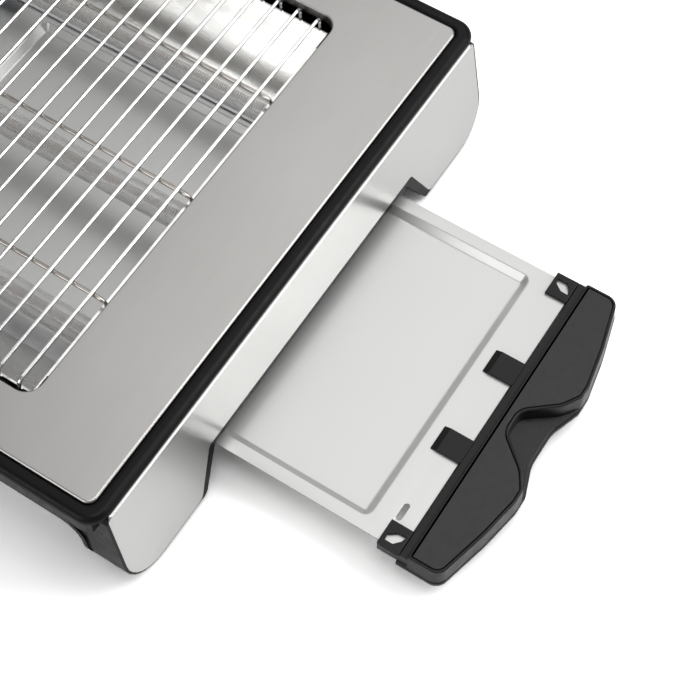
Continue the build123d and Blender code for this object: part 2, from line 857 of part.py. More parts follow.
ceramic_inner = opening_length / 2 + bracket_from_opening - ceramic_behind
ceramic_outer = ceramic_inner + ceramic_length
tube_half_length = ceramic_inner + ceramic_socket
tube_number = 0
for tube_y, height in tube_places:
    tube_number += 1
    with BuildPart() as quartz_tube:
        with BuildSketch(Plane.YZ.offset(opening_middle)):
            with Locations((tube_y, height)):
                Circle(tube_diameter / 2)
                Circle(tube_bore / 2, mode=Mode.SUBTRACT)
        extrude(amount=tube_half_length, both=True)
    finish(quartz_tube.part, f"quartz_tube_{tube_number}")

    with BuildPart() as heating_coil:
        with BuildSketch(Plane.YZ.offset(opening_middle)):
            with Locations((tube_y, height)):
                Circle(coil_diameter / 2)
        extrude(amount=ceramic_inner - coil_clear, both=True)
        with BuildSketch(Plane.YZ.offset(opening_middle)):
            with Locations((tube_y, height)):
                Circle(lead_diameter / 2)
        extrude(amount=ceramic_outer + lead_tail, both=True)
    finish(heating_coil.part, f"heating_coil_{tube_number}")

    for place, end in (("tray_end", 1), ("control_end", -1)):
        with BuildPart() as ceramic_cap:
            with BuildSketch(Plane.YZ.offset(opening_middle + end * ceramic_inner)):
                with Locations((tube_y, height)):
                    Circle(ceramic_diameter / 2)
            extrude(amount=end * ceramic_length)
            chamfer(ceramic_cap.faces().sort_by(Axis.X)[-1 if end > 0 else 0].edges(), ceramic_edge)
            with BuildSketch(Plane.YZ.offset(opening_middle + end * ceramic_inner)):
                with Locations((tube_y, height)):
                    Circle(tube_diameter / 2 + ceramic_fit)
            extrude(amount=end * ceramic_socket, mode=Mode.SUBTRACT)
            with BuildSketch(Plane.YZ.offset(opening_middle + end * ceramic_inner)):
                with Locations((tube_y, height)):
                    Circle(lead_diameter / 2 + lead_fit)
            extrude(amount=end * ceramic_length, mode=Mode.SUBTRACT)
        finish(ceramic_cap.part, f"ceramic_cap_{place}_{tube_number}")


# Bus bars: flat strips that join the tubes' leads at each end

for name, end in (("tray_end_bus_bar", 1), ("control_end_bus_bar", -1)):
    with BuildPart() as bus_bar:
        with BuildSketch(Plane.YZ.offset(opening_middle + end * (ceramic_outer + bus_from_ceramic))):
            with Locations((0, tube_height)):
                Rectangle(2 * bus_half, bus_height)
            with Locations(*tube_places):
                Circle(lead_diameter / 2 + lead_fit, mode=Mode.SUBTRACT)
        extrude(amount=end * bus_thickness)
    finish(bus_bar.part, name)


# Timer: a boxed body behind the control end, its bush through the panel, and a knob on its shaft

timer_height_at = plate_height - timer_depth
timer_front = cap_back(-1)
with BuildPart() as timer_body:
    with BuildSketch(Plane.YZ.offset(timer_front)):
        with Locations((timer_y, timer_height_at)):
            RectangleRounded(timer_width, timer_height, timer_round)
    extrude(amount=timer_length)
    with BuildSketch(Plane.YZ.offset(timer_front)):
        with Locations((timer_y, timer_height_at)):
            Circle(bush_diameter / 2)
    extrude(amount=-bush_length)
    with BuildSketch(Plane.YZ.offset(timer_front + shaft_root)):
        with Locations((timer_y, timer_height_at)):
            Circle(shaft_diameter / 2 + shaft_fit)
    extrude(amount=-bush_length - shaft_root, mode=Mode.SUBTRACT)
finish(timer_body.part, "timer_body")

knob_back = control_edge - knob_back_reach
shaft_end = knob_back - knob_bore_depth + shaft_end_gap
with BuildPart() as timer_shaft:
    with BuildSketch(Plane.YZ.offset(timer_front + shaft_root - shaft_fit)):
        with Locations((timer_y, timer_height_at)):
            Circle(shaft_diameter / 2)
    extrude(amount=shaft_end - timer_front - shaft_root + shaft_fit)
    with BuildSketch(Plane.YZ.offset(shaft_end)):
        with Locations((timer_y, timer_height_at + shaft_diameter / 2 - shaft_flat / 2)):
            Rectangle(shaft_diameter, shaft_flat)
    extrude(amount=knob_bore_depth - knob_skirt, mode=Mode.SUBTRACT)
finish(timer_shaft.part, "timer_shaft")

knob_plane = Plane(origin=(knob_back, timer_y, timer_height_at), x_dir=(0, 0, 1), z_dir=(-1, 0, 0))
with BuildPart() as timer_knob:
    with BuildSketch(knob_plane):
        Circle(knob_diameter / 2)
    extrude(amount=knob_skirt)
    with BuildSketch(knob_plane.offset(knob_skirt)):
        Circle(knob_face)
    extrude(amount=knob_taper, taper=knob_cone)
    with BuildSketch(knob_plane):
        SlotOverall(knob_diameter - knob_edge, knob_bar_width)
    extrude(amount=knob_length)
    chamfer(timer_knob.faces().sort_by(Axis.X)[0].edges(), knob_edge)
    with BuildSketch(knob_plane):
        Circle(knob_face - knob_shell)
    extrude(amount=knob_skirt / 2, mode=Mode.SUBTRACT)
    with BuildSketch(knob_plane):
        Circle(shaft_diameter / 2 + shaft_fit)
        with Locations((shaft_diameter / 2 - shaft_flat / 2 + shaft_fit, 0)):
            Rectangle(shaft_flat, shaft_diameter, mode=Mode.SUBTRACT)
    extrude(amount=knob_bore_depth, mode=Mode.SUBTRACT)
    with BuildSketch(knob_plane):
        Circle(shaft_diameter / 2 + shaft_fit)
    extrude(amount=knob_skirt + shaft_end_gap, mode=Mode.SUBTRACT)
    with BuildSketch(knob_plane.offset(knob_length - knob_line_depth)):
        with Locations((knob_diameter / 4, 0)):
            Rectangle(knob_diameter / 4, knob_line_width)
    extrude(amount=knob_line_depth, mode=Mode.SUBTRACT)
finish(timer_knob.part, "timer_knob")


# Indicator lamp: a lens through the control panel and the lamp behind it

with BuildPart() as indicator_lens:
    with BuildSketch(Plane.YZ.offset(timer_front)):
        with Locations((lamp_y, plate_height - lamp_depth)):
            Circle(lens_diameter / 2)
    extrude(amount=panel_face_x(-1, lamp_depth) - lens_proud - timer_front)
    chamfer(indicator_lens.faces().sort_by(Axis.X)[0].edges(), lens_edge)
finish(indicator_lens.part, "indicator_lens")

with BuildPart() as indicator_lamp:
    with BuildSketch(Plane.YZ.offset(timer_front)):
        with Locations((lamp_y, plate_height - lamp_depth)):
            Circle(lamp_diameter / 2)
    extrude(amount=lamp_length)
finish(indicator_lamp.part, "indicator_lamp")


# Cord gland: a flanged sleeve through the control panel, open for a power cord

gland_mouth = panel_face_x(-1, gland_depth + gland_flange / 2) - gland_flange_length
gland_end = timer_front + gland_inner
with BuildPart() as cord_gland:
    with BuildSketch(Plane.YZ.offset(gland_mouth)):
        with Locations((gland_y, plate_height - gland_depth)):
            Circle(gland_flange / 2)
    extrude(amount=gland_flange_length)
    with BuildSketch(Plane.YZ.offset(gland_mouth)):
        with Locations((gland_y, plate_height - gland_depth)):
            Circle(gland_neck / 2)
    extrude(amount=timer_front - gland_mouth)
    with BuildSketch(Plane.YZ.offset(gland_mouth)):
        with Locations((gland_y, plate_height - gland_depth)):
            Circle(gland_tail / 2)
    extrude(amount=gland_end - gland_mouth)
    with BuildSketch(Plane.YZ.offset(gland_mouth)):
        with Locations((gland_y, plate_height - gland_depth)):
            Circle(gland_bore / 2)
    extrude(amount=gland_end - gland_mouth, mode=Mode.SUBTRACT)
finish(cord_gland.part, "cord_gland")


# Terminal block, thermal fuse and lead wires, in the space behind the control end

wire_height = plate_height - wire_depth
terminal_back = cap_back(-1) + terminal_from_cap
terminal_front = terminal_back + terminal_width
way_places = [terminal_y - terminal_pitch / 2, terminal_y + terminal_pitch / 2]
with BuildPart() as terminal_block:
    with BuildSketch(Plane.XY.offset(pan_floor)):
        with Locations((terminal_back + terminal_width / 2, terminal_y)):
            Rectangle(terminal_width, terminal_length)
    extrude(amount=terminal_height)
    with BuildSketch(Plane.YZ.offset(terminal_back)):
        with Locations(*[(y, wire_height) for y in way_places]):
            Circle(terminal_hole / 2)
    extrude(amount=terminal_width, mode=Mode.SUBTRACT)
    with BuildSketch(Plane.XY.offset(pan_floor + terminal_height)):
        with Locations(*[(terminal_back + terminal_width / 2, y) for y in way_places]):
            Circle(terminal_screw / 2)
    extrude(amount=-terminal_screw_depth, mode=Mode.SUBTRACT)
finish(terminal_block.part, "terminal_block")

with BuildPart() as thermal_fuse:
    with BuildSketch(Plane.YZ.offset(terminal_front)):
        with Locations((way_places[1], wire_height)):
            Circle(wire_insulation / 2)
    extrude(amount=terminal_entry, both=True)
    with BuildSketch(Plane.YZ.offset(terminal_front + terminal_entry)):
        with Locations((way_places[1], wire_height)):
            Circle(fuse_diameter / 2)
    extrude(amount=fuse_length)
finish(thermal_fuse.part, "thermal_fuse")

timer_rear = timer_front + timer_length
cross_x = timer_rear + wire_run
control_bus = opening_middle - ceramic_outer - bus_from_ceramic - bus_thickness
tray_bus = opening_middle + ceramic_outer + bus_from_ceramic + bus_thickness / 2
fuse_end = terminal_front + terminal_entry + fuse_length
wire_routes = [
    [
        (timer_rear, timer_y + timer_width / 5, wire_height),
        (cross_x, timer_y + timer_width / 5, wire_height),
        (cross_x, way_places[0], wire_height),
        (terminal_front - terminal_entry, way_places[0], wire_height),
    ],
    [
        (fuse_end, way_places[1], wire_height),
        (fuse_end + wire_turn + 1, way_places[1], wire_height),
        (fuse_end + wire_turn + 1, side_wire_y, tube_height),
        (tray_bus, side_wire_y, tube_height),
        (tray_bus, bus_half, tube_height),
    ],
]
with BuildPart() as lead_wires:
    for route in wire_routes:
        with BuildLine() as wire_route:
            Polyline(*route)
        with BuildSketch(Plane.YZ.offset(route[0][0])):
            with Locations(route[0][1:]):
                Circle(wire_insulation / 2)
        sweep(path=wire_route.line, transition=Transition.RIGHT)
    with BuildSketch(Plane.YZ.offset(timer_rear)):
        with Locations((timer_y - timer_width / 5, tube_height)):
            Circle(wire_insulation / 2)
    extrude(amount=control_bus - timer_rear)
finish(lead_wires.part, "lead_wires")


# Crumb tray: thin sheet with a flat rim, a pressed recess with sloping sides and one oblong slot

recess_middle = tray_edge + tray_recess_front - tray_recess_length / 2


def recess_rectangle(spread):
    """The recess outline from above, spread evenly all round."""
    with Locations((recess_middle, 0)):
        RectangleRounded(
            tray_recess_length + 2 * spread,
            2 * tray_recess_half + 2 * spread,
            tray_recess_corner + spread,
        )


with BuildPart() as crumb_tray:
    with BuildSketch(Plane.XY.offset(tray_under)):
        with Locations((tray_edge + tray_front - tray_length / 2, 0)):
            RectangleRounded(tray_length, 2 * tray_half_width, tray_corner)
    extrude(amount=tray_sheet)
    with BuildSketch(Plane.XY.offset(tray_under - tray_recess_depth)):
        recess_rectangle(tray_sheet - tray_recess_slope)
    with BuildSketch(Plane.XY.offset(tray_under)):
        recess_rectangle(tray_sheet)
    loft()
    with BuildSketch(Plane.XY.offset(tray_top - tray_recess_depth)):
        recess_rectangle(-tray_recess_slope)
    with BuildSketch(Plane.XY.offset(tray_top)):
        recess_rectangle(0)
    loft(mode=Mode.SUBTRACT)
    with BuildSketch(Plane.XY.offset(tray_under)):
        with Locations((tray_edge + tray_slot_x, tray_slot_y)):
            SlotOverall(tray_slot_length, tray_slot_width, rotation=90)
        with Locations(*[(tray_edge + handle_screw_x, side * handle_screw_y) for side in (-1, 1)]):
            Circle(screw_shank / 2 + screw_hole_fit)
    extrude(amount=tray_sheet, mode=Mode.SUBTRACT)
finish(crumb_tray.part, "crumb_tray")


# Tray handle: a black grip with a finger ledge, end tabs and clips, and a cover let into its top


def bow(points, rounds):
    """A handle outline from above: straight back, round ends and a finger dip between two lobes."""
    with BuildLine() as outline:
        FilletPolyline(*[(tray_edge + x, y) for x, y in points], radius=rounds)
        mirror(about=Plane.XZ)
    make_face(outline.edges())


def cover_outline(inset, back):
    """Outline of the cover: the handle's upper outline set in, but with its own back edge."""
    straight_back = [(back - inset, 0), (back - inset, handle_half)]
    bow(straight_back + upper_bow[2:], [0] + upper_bow_rounds[1:])
    offset(amount=-inset, kind=Kind.INTERSECTION, mode=Mode.REPLACE)


cover_under = tray_top + handle_top - cover_thickness
with BuildPart() as tray_handle_grip:
    with BuildSketch(Plane.XY.offset(tray_top + handle_top)):
        bow(upper_bow, upper_bow_rounds)
    extrude(amount=handle_ledge_top - handle_top, taper=-handle_taper)
    with BuildSketch(Plane.XY.offset(tray_top + handle_bottom)):
        bow(lower_bow, lower_bow_rounds)
    extrude(amount=handle_ledge_top - handle_bottom)
    with BuildSketch(Plane.XY.offset(tray_top + handle_ledge_top)):
        bow(upper_bow, upper_bow_rounds)
        offset(amount=-grip_wall, kind=Kind.INTERSECTION, mode=Mode.REPLACE)
        with Locations((tray_edge, 0)):
            Rectangle(
                2 * bar_front, 4 * handle_half, align=(Align.CENTER, Align.CENTER), mode=Mode.SUBTRACT
            )
    extrude(amount=handle_top - handle_ledge_top, mode=Mode.SUBTRACT)
    with BuildSketch(Plane.XY.offset(cover_under)):
        cover_outline(cover_inset, bar_back)
    extrude(amount=cover_thickness, mode=Mode.SUBTRACT)
    with BuildSketch(Plane.XY.offset(tray_top + handle_ledge_top)):
        with Locations((tray_edge + bar_back, 0)):
            Rectangle(
                handle_back - bar_back + grip_wall, 2 * handle_half, align=(Align.MIN, Align.CENTER)
            )
    extrude(amount=bar_top - handle_ledge_top)
    for side in (-1, 1):
        with BuildSketch(Plane.XY.offset(tray_top + tab_skirt_bottom)):
            with Locations((tray_edge + (tab_back + bar_back) / 2, side * (handle_half + tab_inner) / 2)):
                Rectangle(bar_back - tab_back, handle_half - tab_inner)
        extrude(amount=bar_top - tab_skirt_bottom)
        with BuildSketch(Plane.XZ.offset(-side * clip_inner)):
            with BuildLine():
                Polyline(
                    (tray_edge + clip_back, tray_top),
                    (tray_edge + bar_back, tray_top),
                    (tray_edge + bar_back, tray_top + bar_top),
                    (tray_edge + clip_back + clip_bevel, tray_top + bar_top),
                    (tray_edge + clip_back, tray_top + bar_top - clip_bevel / 2),
                    close=True,
                )
            make_face()
        extrude(amount=-side * (clip_outer - clip_inner))
    slot_half = tray_half_width + grip_slot_fit
    with BuildSketch(Plane.XY.offset(tray_top + handle_bottom)):
        with Locations((tray_edge + bar_back, 0)):
            Rectangle(bar_back, 2 * slot_half, align=(Align.MAX, Align.CENTER))
    extrude(amount=grip_slot_fit - handle_bottom, mode=Mode.SUBTRACT)
    with BuildSketch(Plane.XY.offset(tray_under - grip_slot_fit)):
        with Locations((tray_edge + bar_back, 0)):
            Rectangle(
                tray_front + grip_slot_fit - bar_back, 2 * slot_half, align=(Align.MIN, Align.CENTER)
            )
    extrude(amount=tray_sheet + 2 * grip_slot_fit, mode=Mode.SUBTRACT)
    for side in (-1, 1):
        with BuildSketch(Plane.XY.offset(tray_top)):
            with BuildLine():
                Polyline(*[(tray_edge + x, side * (tray_half_width - y)) for x, y in tab_hole], close=True)
            make_face()
        extrude(amount=handle_top, mode=Mode.SUBTRACT)
    with BuildSketch(Plane.XY.offset(tray_top + handle_bottom)):
        with Locations(*[(tray_edge + handle_screw_x, side * handle_screw_y) for side in (-1, 1)]):
            Circle(screw_head / 2 + screw_hole_fit)
    extrude(amount=screw_head_height, mode=Mode.SUBTRACT)
    with BuildSketch(Plane.XY.offset(tray_top + handle_bottom)):
        with Locations(*[(tray_edge + handle_screw_x, side * handle_screw_y) for side in (-1, 1)]):
            Circle(screw_shank / 2 + screw_hole_fit)
    extrude(amount=screw_head_height + handle_screw_length + screw_hole_fit, mode=Mode.SUBTRACT)
finish(tray_handle_grip.part, "tray_handle_grip")

with BuildPart() as tray_handle_cover:
    with BuildSketch(Plane.XY.offset(cover_under)):
        cover_outline(cover_inset + cover_fit, handle_back)
    extrude(amount=cover_thickness)
    chamfer(tray_handle_cover.faces().sort_by(Axis.Z)[-1].edges(), cover_edge)
finish(tray_handle_cover.part, "tray_handle_cover")

with BuildPart() as handle_screws:
    with BuildSketch(Plane.XY.offset(tray_top + handle_bottom)):
        with Locations(*[(tray_edge + handle_screw_x, side * handle_screw_y) for side in (-1, 1)]):
            Circle(screw_head / 2)
    extrude(amount=screw_head_height)
    with BuildSketch(Plane.XY.offset(tray_top + handle_bottom + screw_head_height)):
        with Locations(*[(tray_edge + handle_screw_x, side * handle_screw_y) for side in (-1, 1)]):
            Circle(screw_shank / 2)
    extrude(amount=handle_screw_length)
finish(handle_screws.part, "handle_screws")
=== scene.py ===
from math import cos, pi, radians, sin, tan
import bmesh
import bpy
import numpy as np
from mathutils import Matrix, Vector


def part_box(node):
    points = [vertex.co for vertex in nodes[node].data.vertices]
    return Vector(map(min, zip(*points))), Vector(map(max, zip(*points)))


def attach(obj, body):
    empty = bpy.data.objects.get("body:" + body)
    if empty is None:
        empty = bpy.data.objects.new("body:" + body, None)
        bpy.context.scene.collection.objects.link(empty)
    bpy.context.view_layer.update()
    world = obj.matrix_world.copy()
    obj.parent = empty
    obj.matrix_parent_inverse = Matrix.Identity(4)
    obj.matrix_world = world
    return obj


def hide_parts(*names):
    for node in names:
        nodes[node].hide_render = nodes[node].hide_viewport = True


# A flat electric toaster with a pull-out crumb tray. Sizes in each section are millimetres.
# +X is the way the tray pulls out, +Z is up and z = 0 is the table.
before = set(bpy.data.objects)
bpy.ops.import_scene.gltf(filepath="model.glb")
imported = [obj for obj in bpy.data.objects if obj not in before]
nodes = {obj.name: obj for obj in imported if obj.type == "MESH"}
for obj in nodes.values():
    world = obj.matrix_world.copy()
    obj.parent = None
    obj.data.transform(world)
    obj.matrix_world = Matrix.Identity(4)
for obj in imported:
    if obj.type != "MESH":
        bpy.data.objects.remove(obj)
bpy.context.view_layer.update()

# Camera: at the photograph's angle, looking down at the tray end from the front right.
scene = bpy.context.scene
camera = bpy.data.objects.new("camera", bpy.data.cameras.new("camera"))
scene.collection.objects.link(camera)
scene.camera = camera
turn, height = radians(32.52), radians(61.54)
away = Vector((sin(turn) * cos(height), -cos(turn) * cos(height), sin(height)))
camera.location = (0.2822, -0.2333, 0.5151)
camera.rotation_mode = "QUATERNION"
camera.rotation_quaternion = (-away).to_track_quat("-Z", "Y")
camera.data.lens = 83.55
camera.data.sensor_width = 36
camera.data.clip_start = 0.01

# Table: a plain white sheet, lit by five soft lamps and a pale room.
# Seen straight, the sheet is a little brighter so that it reads as white.
scene.view_settings.view_transform = "Standard"
room = bpy.data.worlds.new("pale room")
scene.world = room
room.use_nodes = True
tree = room.node_tree
path = tree.nodes.new("ShaderNodeLightPath")
seen = tree.nodes.new("ShaderNodeMapRange")
seen.inputs["To Min"].default_value = 0.36
seen.inputs["To Max"].default_value = 1.0
tree.links.new(path.outputs["Is Camera Ray"], seen.inputs["Value"])
tree.links.new(seen.outputs["Result"], tree.nodes["Background"].inputs["Strength"])
tree.nodes["Background"].inputs["Color"].default_value = (1.0, 0.995, 0.985, 1)

bpy.ops.mesh.primitive_plane_add(size=8)
table = bpy.context.object
table.name = "table"
white = bpy.data.materials.new("white table")
white.use_nodes = True
tree = white.node_tree
tree.nodes.remove(tree.nodes["Principled BSDF"])
path = tree.nodes.new("ShaderNodeLightPath")
shade = tree.nodes.new("ShaderNodeMapRange")
shade.inputs["To Min"].default_value = 0.9
shade.inputs["To Max"].default_value = 1.3
matt = tree.nodes.new("ShaderNodeBsdfDiffuse")
tree.links.new(path.outputs["Is Camera Ray"], shade.inputs["Value"])
tree.links.new(shade.outputs["Result"], matt.inputs["Color"])
tree.links.new(matt.outputs[0], tree.nodes["Material Output"].inputs["Surface"])
table.data.materials.append(white)


def soft_lamp(name, place, aim, size, power):
    """A square lamp of `size` metres at `place`, turned to face `aim`."""
    lamp = bpy.data.objects.new(name, bpy.data.lights.new(name, "AREA"))
    lamp.data.size = size
    lamp.data.energy = power
    lamp.location = place
    lamp.rotation_mode = "QUATERNION"
    lamp.rotation_quaternion = (Vector(aim) - Vector(place)).to_track_quat("-Z", "Y")
    scene.collection.objects.link(lamp)


soft_lamp("overhead lamp", (0.3, -0.1, 1.38), (0, 0, 0), 0.55, 4.2)
soft_lamp("back lamp", (0.0, 0.64, 1.25), (0, 0, 0), 1.2, 5.5)
soft_lamp("corner lamp", (0.74, 0.54, 1.06), (0.15, 0, 0), 0.5, 5.0)
soft_lamp("front lamp", (-0.25, -1.15, 0.62), (0, 0, 0.03), 0.7, 4.6)
soft_lamp("side lamp", (1.2, 0.6, 0.58), (0.1, 0, 0), 0.8, 5.5)


# Top plate: one stainless steel sheet, its outer edge rolled over the frame and the
# opening's edge turned down. The face is brushed across, with a soft grain.
def node_box(node):
    """Lowest and highest corner of a node, in millimetres."""
    low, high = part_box(node)
    return np.array(low) * 1000, np.array(high) * 1000


def rounded(corners, radii, steps=8):
    """A closed outline with rounded corners, listed anticlockwise. Each arc touches both edges of
    its corner: its centre lies on the bisector, radius / sin(half the corner's angle) away. Gives
    the places and their outward directions, so place + direction * d is the outline grown by d."""
    corners = np.array(corners, float)
    radii = np.broadcast_to(np.array(radii, float), len(corners))[:, None]
    back = np.roll(corners, 1, 0) - corners
    ahead = np.roll(corners, -1, 0) - corners
    back /= np.linalg.norm(back, axis=1, keepdims=True)
    ahead /= np.linalg.norm(ahead, axis=1, keepdims=True)
    half = np.arccos(np.clip((back * ahead).sum(1, keepdims=True), -1, 1)) / 2
    bisector = back + ahead
    bisector /= np.linalg.norm(bisector, axis=1, keepdims=True)
    centre = corners + bisector * radii / np.sin(half)
    first = (corners + back * radii / np.tan(half) - centre) / radii
    last = (corners + ahead * radii / np.tan(half) - centre) / radii
    swing = (pi - 2 * half)[:, None]
    share = np.linspace(0, 1, steps)[None, :, None]
    arc = np.sin((1 - share) * swing) * first[:, None] + np.sin(share * swing) * last[:, None]
    arc = arc / np.sin(swing)
    places = centre[:, None] + arc * radii[:, None]
    hollow = -back[:, 0] * ahead[:, 1] + back[:, 1] * ahead[:, 0] < 0
    outward = np.where(hollow[:, None, None], -arc, arc)
    return places.reshape(-1, 2), outward.reshape(-1, 2)


def rectangle(x0, x1, y0, y1):
    """Corners of a rectangle, anticlockwise."""
    return [(x1, y0), (x1, y1), (x0, y1), (x0, y0)]


def arc(across, up, radius, start, stop, steps=6):
    """(across, up) places on an arc about a centre, between two angles in degrees."""
    angle = np.radians(np.linspace(start, stop, steps))
    return list(zip(across + radius * np.cos(angle), up + radius * np.sin(angle)))


def rows_on(outline, profile):
    """Level rows round an outline: a profile's (grow, height) gives place + direction * grow."""
    places, outward = outline
    grow, level = np.array(profile, float).T
    flat = places[None] + outward[None] * grow[:, None, None]
    return np.concatenate([flat, np.broadcast_to(level[:, None, None], flat.shape[:2] + (1,))], -1)


def hoop(rows, closed=False, ends=True):
    """Faces of rows of points that each run once round: four-cornered between neighbours, and one
    face over the first and over the last row, or from the last row to the first where closed."""
    rows = np.asarray(rows)
    count, around = rows.shape[:2]
    row = np.arange(count if closed else count - 1)[:, None]
    place = np.arange(around)[None]
    after = (place + 1) % around
    above = (row + 1) % count
    faces = np.stack([
        row * around + place,
        row * around + after,
        above * around + after,
        above * around + place,
    ], -1)
    blocks = [faces.reshape(-1, 4)]
    if ends and not closed:
        blocks += [np.arange(around)[None, ::-1], np.arange(around)[None] + (count - 1) * around]
    return rows.reshape(-1, 3), blocks


def make(name, parts, finish, body, stands_for, crease=32, sheet=0):
    """One mesh from its parts' points and faces: doubled corners are merged, faces turned outwards,
    and edges sharper than `crease` degrees stay crisp. An open one gets `sheet` millimetres of
    thickness. It rides on its body and replaces its nodes."""
    points, faces, start = [], [], 0
    for part_points, blocks in parts:
        points.append(part_points)
        for block in blocks:
            faces += (block + start).tolist()
        start += len(part_points)
    mesh = bpy.data.meshes.new(name)
    mesh.from_pydata((np.concatenate(points) / 1000).tolist(), [], faces)
    work = bmesh.new()
    work.from_mesh(mesh)
    bmesh.ops.remove_doubles(work, verts=work.verts, dist=2e-6)
    bmesh.ops.recalc_face_normals(work, faces=work.faces)
    work.to_mesh(mesh)
    work.free()
    mesh.polygons.foreach_set("use_smooth", np.ones(len(mesh.polygons), bool))
    mesh.set_sharp_from_angle(angle=radians(crease))
    mesh.materials.append(finish)
    piece = bpy.data.objects.new(name, mesh)
    scene.collection.objects.link(piece)
    if sheet:
        thick = piece.modifiers.new("sheet", "SOLIDIFY")
        thick.thickness = sheet / 1000
        thick.offset = -1
    even = piece.modifiers.new("even shading", "WEIGHTED_NORMAL")
    even.keep_sharp = True
    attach(piece, body)
    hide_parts(*stands_for)


def coat(name, colour, metallic, roughness, sheen=0.5):
    """A finish with one colour, ready for its grain. `sheen` is how strongly its face mirrors: 0.5
    is a plain polished plastic."""
    finish = bpy.data.materials.new(name)
    finish.use_nodes = True
    shader = finish.node_tree.nodes["Principled BSDF"]
    shader.inputs["Base Color"].default_value = (*colour, 1)
    shader.inputs["Metallic"].default_value = metallic
    shader.inputs["Roughness"].default_value = roughness
    shader.inputs["Specular IOR Level"].default_value = sheen
    return finish


def speckle(finish, scale, stretch=(1, 1, 1), detail=3.0):
    """Noise over the piece's own coordinates in metres: `scale` patches a metre, more along the
    axes that are stretched."""
    tree = finish.node_tree
    place = tree.nodes.new("ShaderNodeTexCoord")
    turned = tree.nodes.new("ShaderNodeMapping")
    turned.inputs["Scale"].default_value = stretch
    noise = tree.nodes.new("ShaderNodeTexNoise")
    noise.inputs["Scale"].default_value = scale
    noise.inputs["Detail"].default_value = detail
    tree.links.new(place.outputs["Object"], turned.inputs["Vector"])
    tree.links.new(turned.outputs["Vector"], noise.inputs["Vector"])
    return noise.outputs["Fac"]


def vary_roughness(finish, noise, low, high):
    """Roughness goes from low to high as the noise goes from 0.3 to 0.7."""
    tree = finish.node_tree
    ranged = tree.nodes.new("ShaderNodeMapRange")
    ranged.inputs["From Min"].default_value = 0.3
    ranged.inputs["From Max"].default_value = 0.7
    ranged.inputs["To Min"].default_value = low
    ranged.inputs["To Max"].default_value = high
    tree.links.new(noise, ranged.inputs["Value"])
    tree.links.new(ranged.outputs["Result"], tree.nodes["Principled BSDF"].inputs["Roughness"])


def vary_colour(finish, noise, dark, light):
    """The colour goes from dark to light as the noise goes from 0.3 to 0.7."""
    tree = finish.node_tree
    ramp = tree.nodes.new("ShaderNodeValToRGB")
    ramp.color_ramp.elements[0].position = 0.3
    ramp.color_ramp.elements[0].color = (*dark, 1)
    ramp.color_ramp.elements[1].position = 0.7
    ramp.color_ramp.elements[1].color = (*light, 1)
    tree.links.new(noise, ramp.inputs["Fac"])
    tree.links.new(ramp.outputs["Color"], tree.nodes["Principled BSDF"].inputs["Base Color"])


def raise_grain(finish, noise, strength, deep):
    """The noise stands up from the surface by up to `deep` millimetres."""
    tree = finish.node_tree
    bump = tree.nodes.new("ShaderNodeBump")
    bump.inputs["Strength"].default_value = strength
    bump.inputs["Distance"].default_value = deep / 1000
    tree.links.new(noise, bump.inputs["Height"])
    tree.links.new(bump.outputs["Normal"], tree.nodes["Principled BSDF"].inputs["Normal"])


plate_low, plate_high = node_box("top_plate")
near_edge, far_edge, top = plate_high[0], plate_low[0], plate_high[2]
half_width = plate_high[1]
plate_sheet, plate_corner, plate_roll, plate_lip = 0.8, 3.5, 1.0, 3.0
opening_inset, opening_length, opening_half = 39.0, 184.0, 91.0
opening_corner, opening_roll, opening_lip = 6.0, 0.6, 4.0
opening_near = near_edge - opening_inset
opening_far = opening_near - opening_length
plate_outline = rounded(rectangle(far_edge, near_edge, -half_width, half_width), plate_corner)
opening_outline = rounded(
    rectangle(opening_far, opening_near, -opening_half, opening_half), opening_corner
)
outer_lip = [
    (-plate_sheet, top - plate_lip), (-0.15, top - plate_lip), (0, top - plate_lip + 0.15)
]
inner_lip = [
    (0, top - opening_lip), (plate_sheet, top - opening_lip), (plate_sheet, top - plate_sheet)
]
plate_rows = np.concatenate([
    rows_on(plate_outline, outer_lip + arc(-plate_roll, top - plate_roll, plate_roll, 0, 90)),
    rows_on(
        opening_outline, arc(opening_roll, top - opening_roll, opening_roll, 90, 180) + inner_lip
    ),
    rows_on(plate_outline, [(-plate_sheet, top - plate_sheet)]),
])
brushed_top = coat("brushed steel, plate", (0.385, 0.378, 0.37), 1, 0.34)
cloudy = speckle(brushed_top, 22, (1, 0.6, 1))
vary_colour(brushed_top, cloudy, (0.37, 0.362, 0.353), (0.4, 0.392, 0.384))
vary_roughness(brushed_top, speckle(brushed_top, 60, (30, 1, 30), 5), 0.31, 0.37)
raise_grain(brushed_top, speckle(brushed_top, 50, (40, 1, 40), 4), 0.05, 0.03)
make("plate_sheet", [hoop(plate_rows, closed=True)], brushed_top, "body",
     ["top_plate"])

# Frame: a black moulding round the plate. Its bead is half round, with a fine groove at the plate,
# and at both ends it steps up over the end panels.
frame_width, frame_depth, frame_corner, frame_ledge = 5.6, 9.0, 7.5, 3.0
bead_drop, bead_round, groove, groove_round = 0.2, 2.6, 0.3, 1.2
end_drop, skirt_past_plate = 3.2, 2.6
frame_outline = rounded(
    rectangle(
        far_edge - frame_width, near_edge + frame_width,
        -half_width - frame_width, half_width + frame_width,
    ),
    frame_corner,
)
middle = (near_edge + far_edge) / 2
skirt = rows_on(
    frame_outline,
    [(-0.3, top - frame_depth), (0, top - frame_depth + 0.3), (0, top - end_drop)],
)
reach = (near_edge - far_edge) / 2 + skirt_past_plate
skirt[..., 0] = np.clip(skirt[..., 0], middle - reach, middle + reach)
outer_round = arc(-bead_round, top - bead_drop - bead_round, bead_round, 0, 90, 9)
inner_round = arc(groove + groove_round, top - bead_drop - groove_round, groove_round, 90, 180)
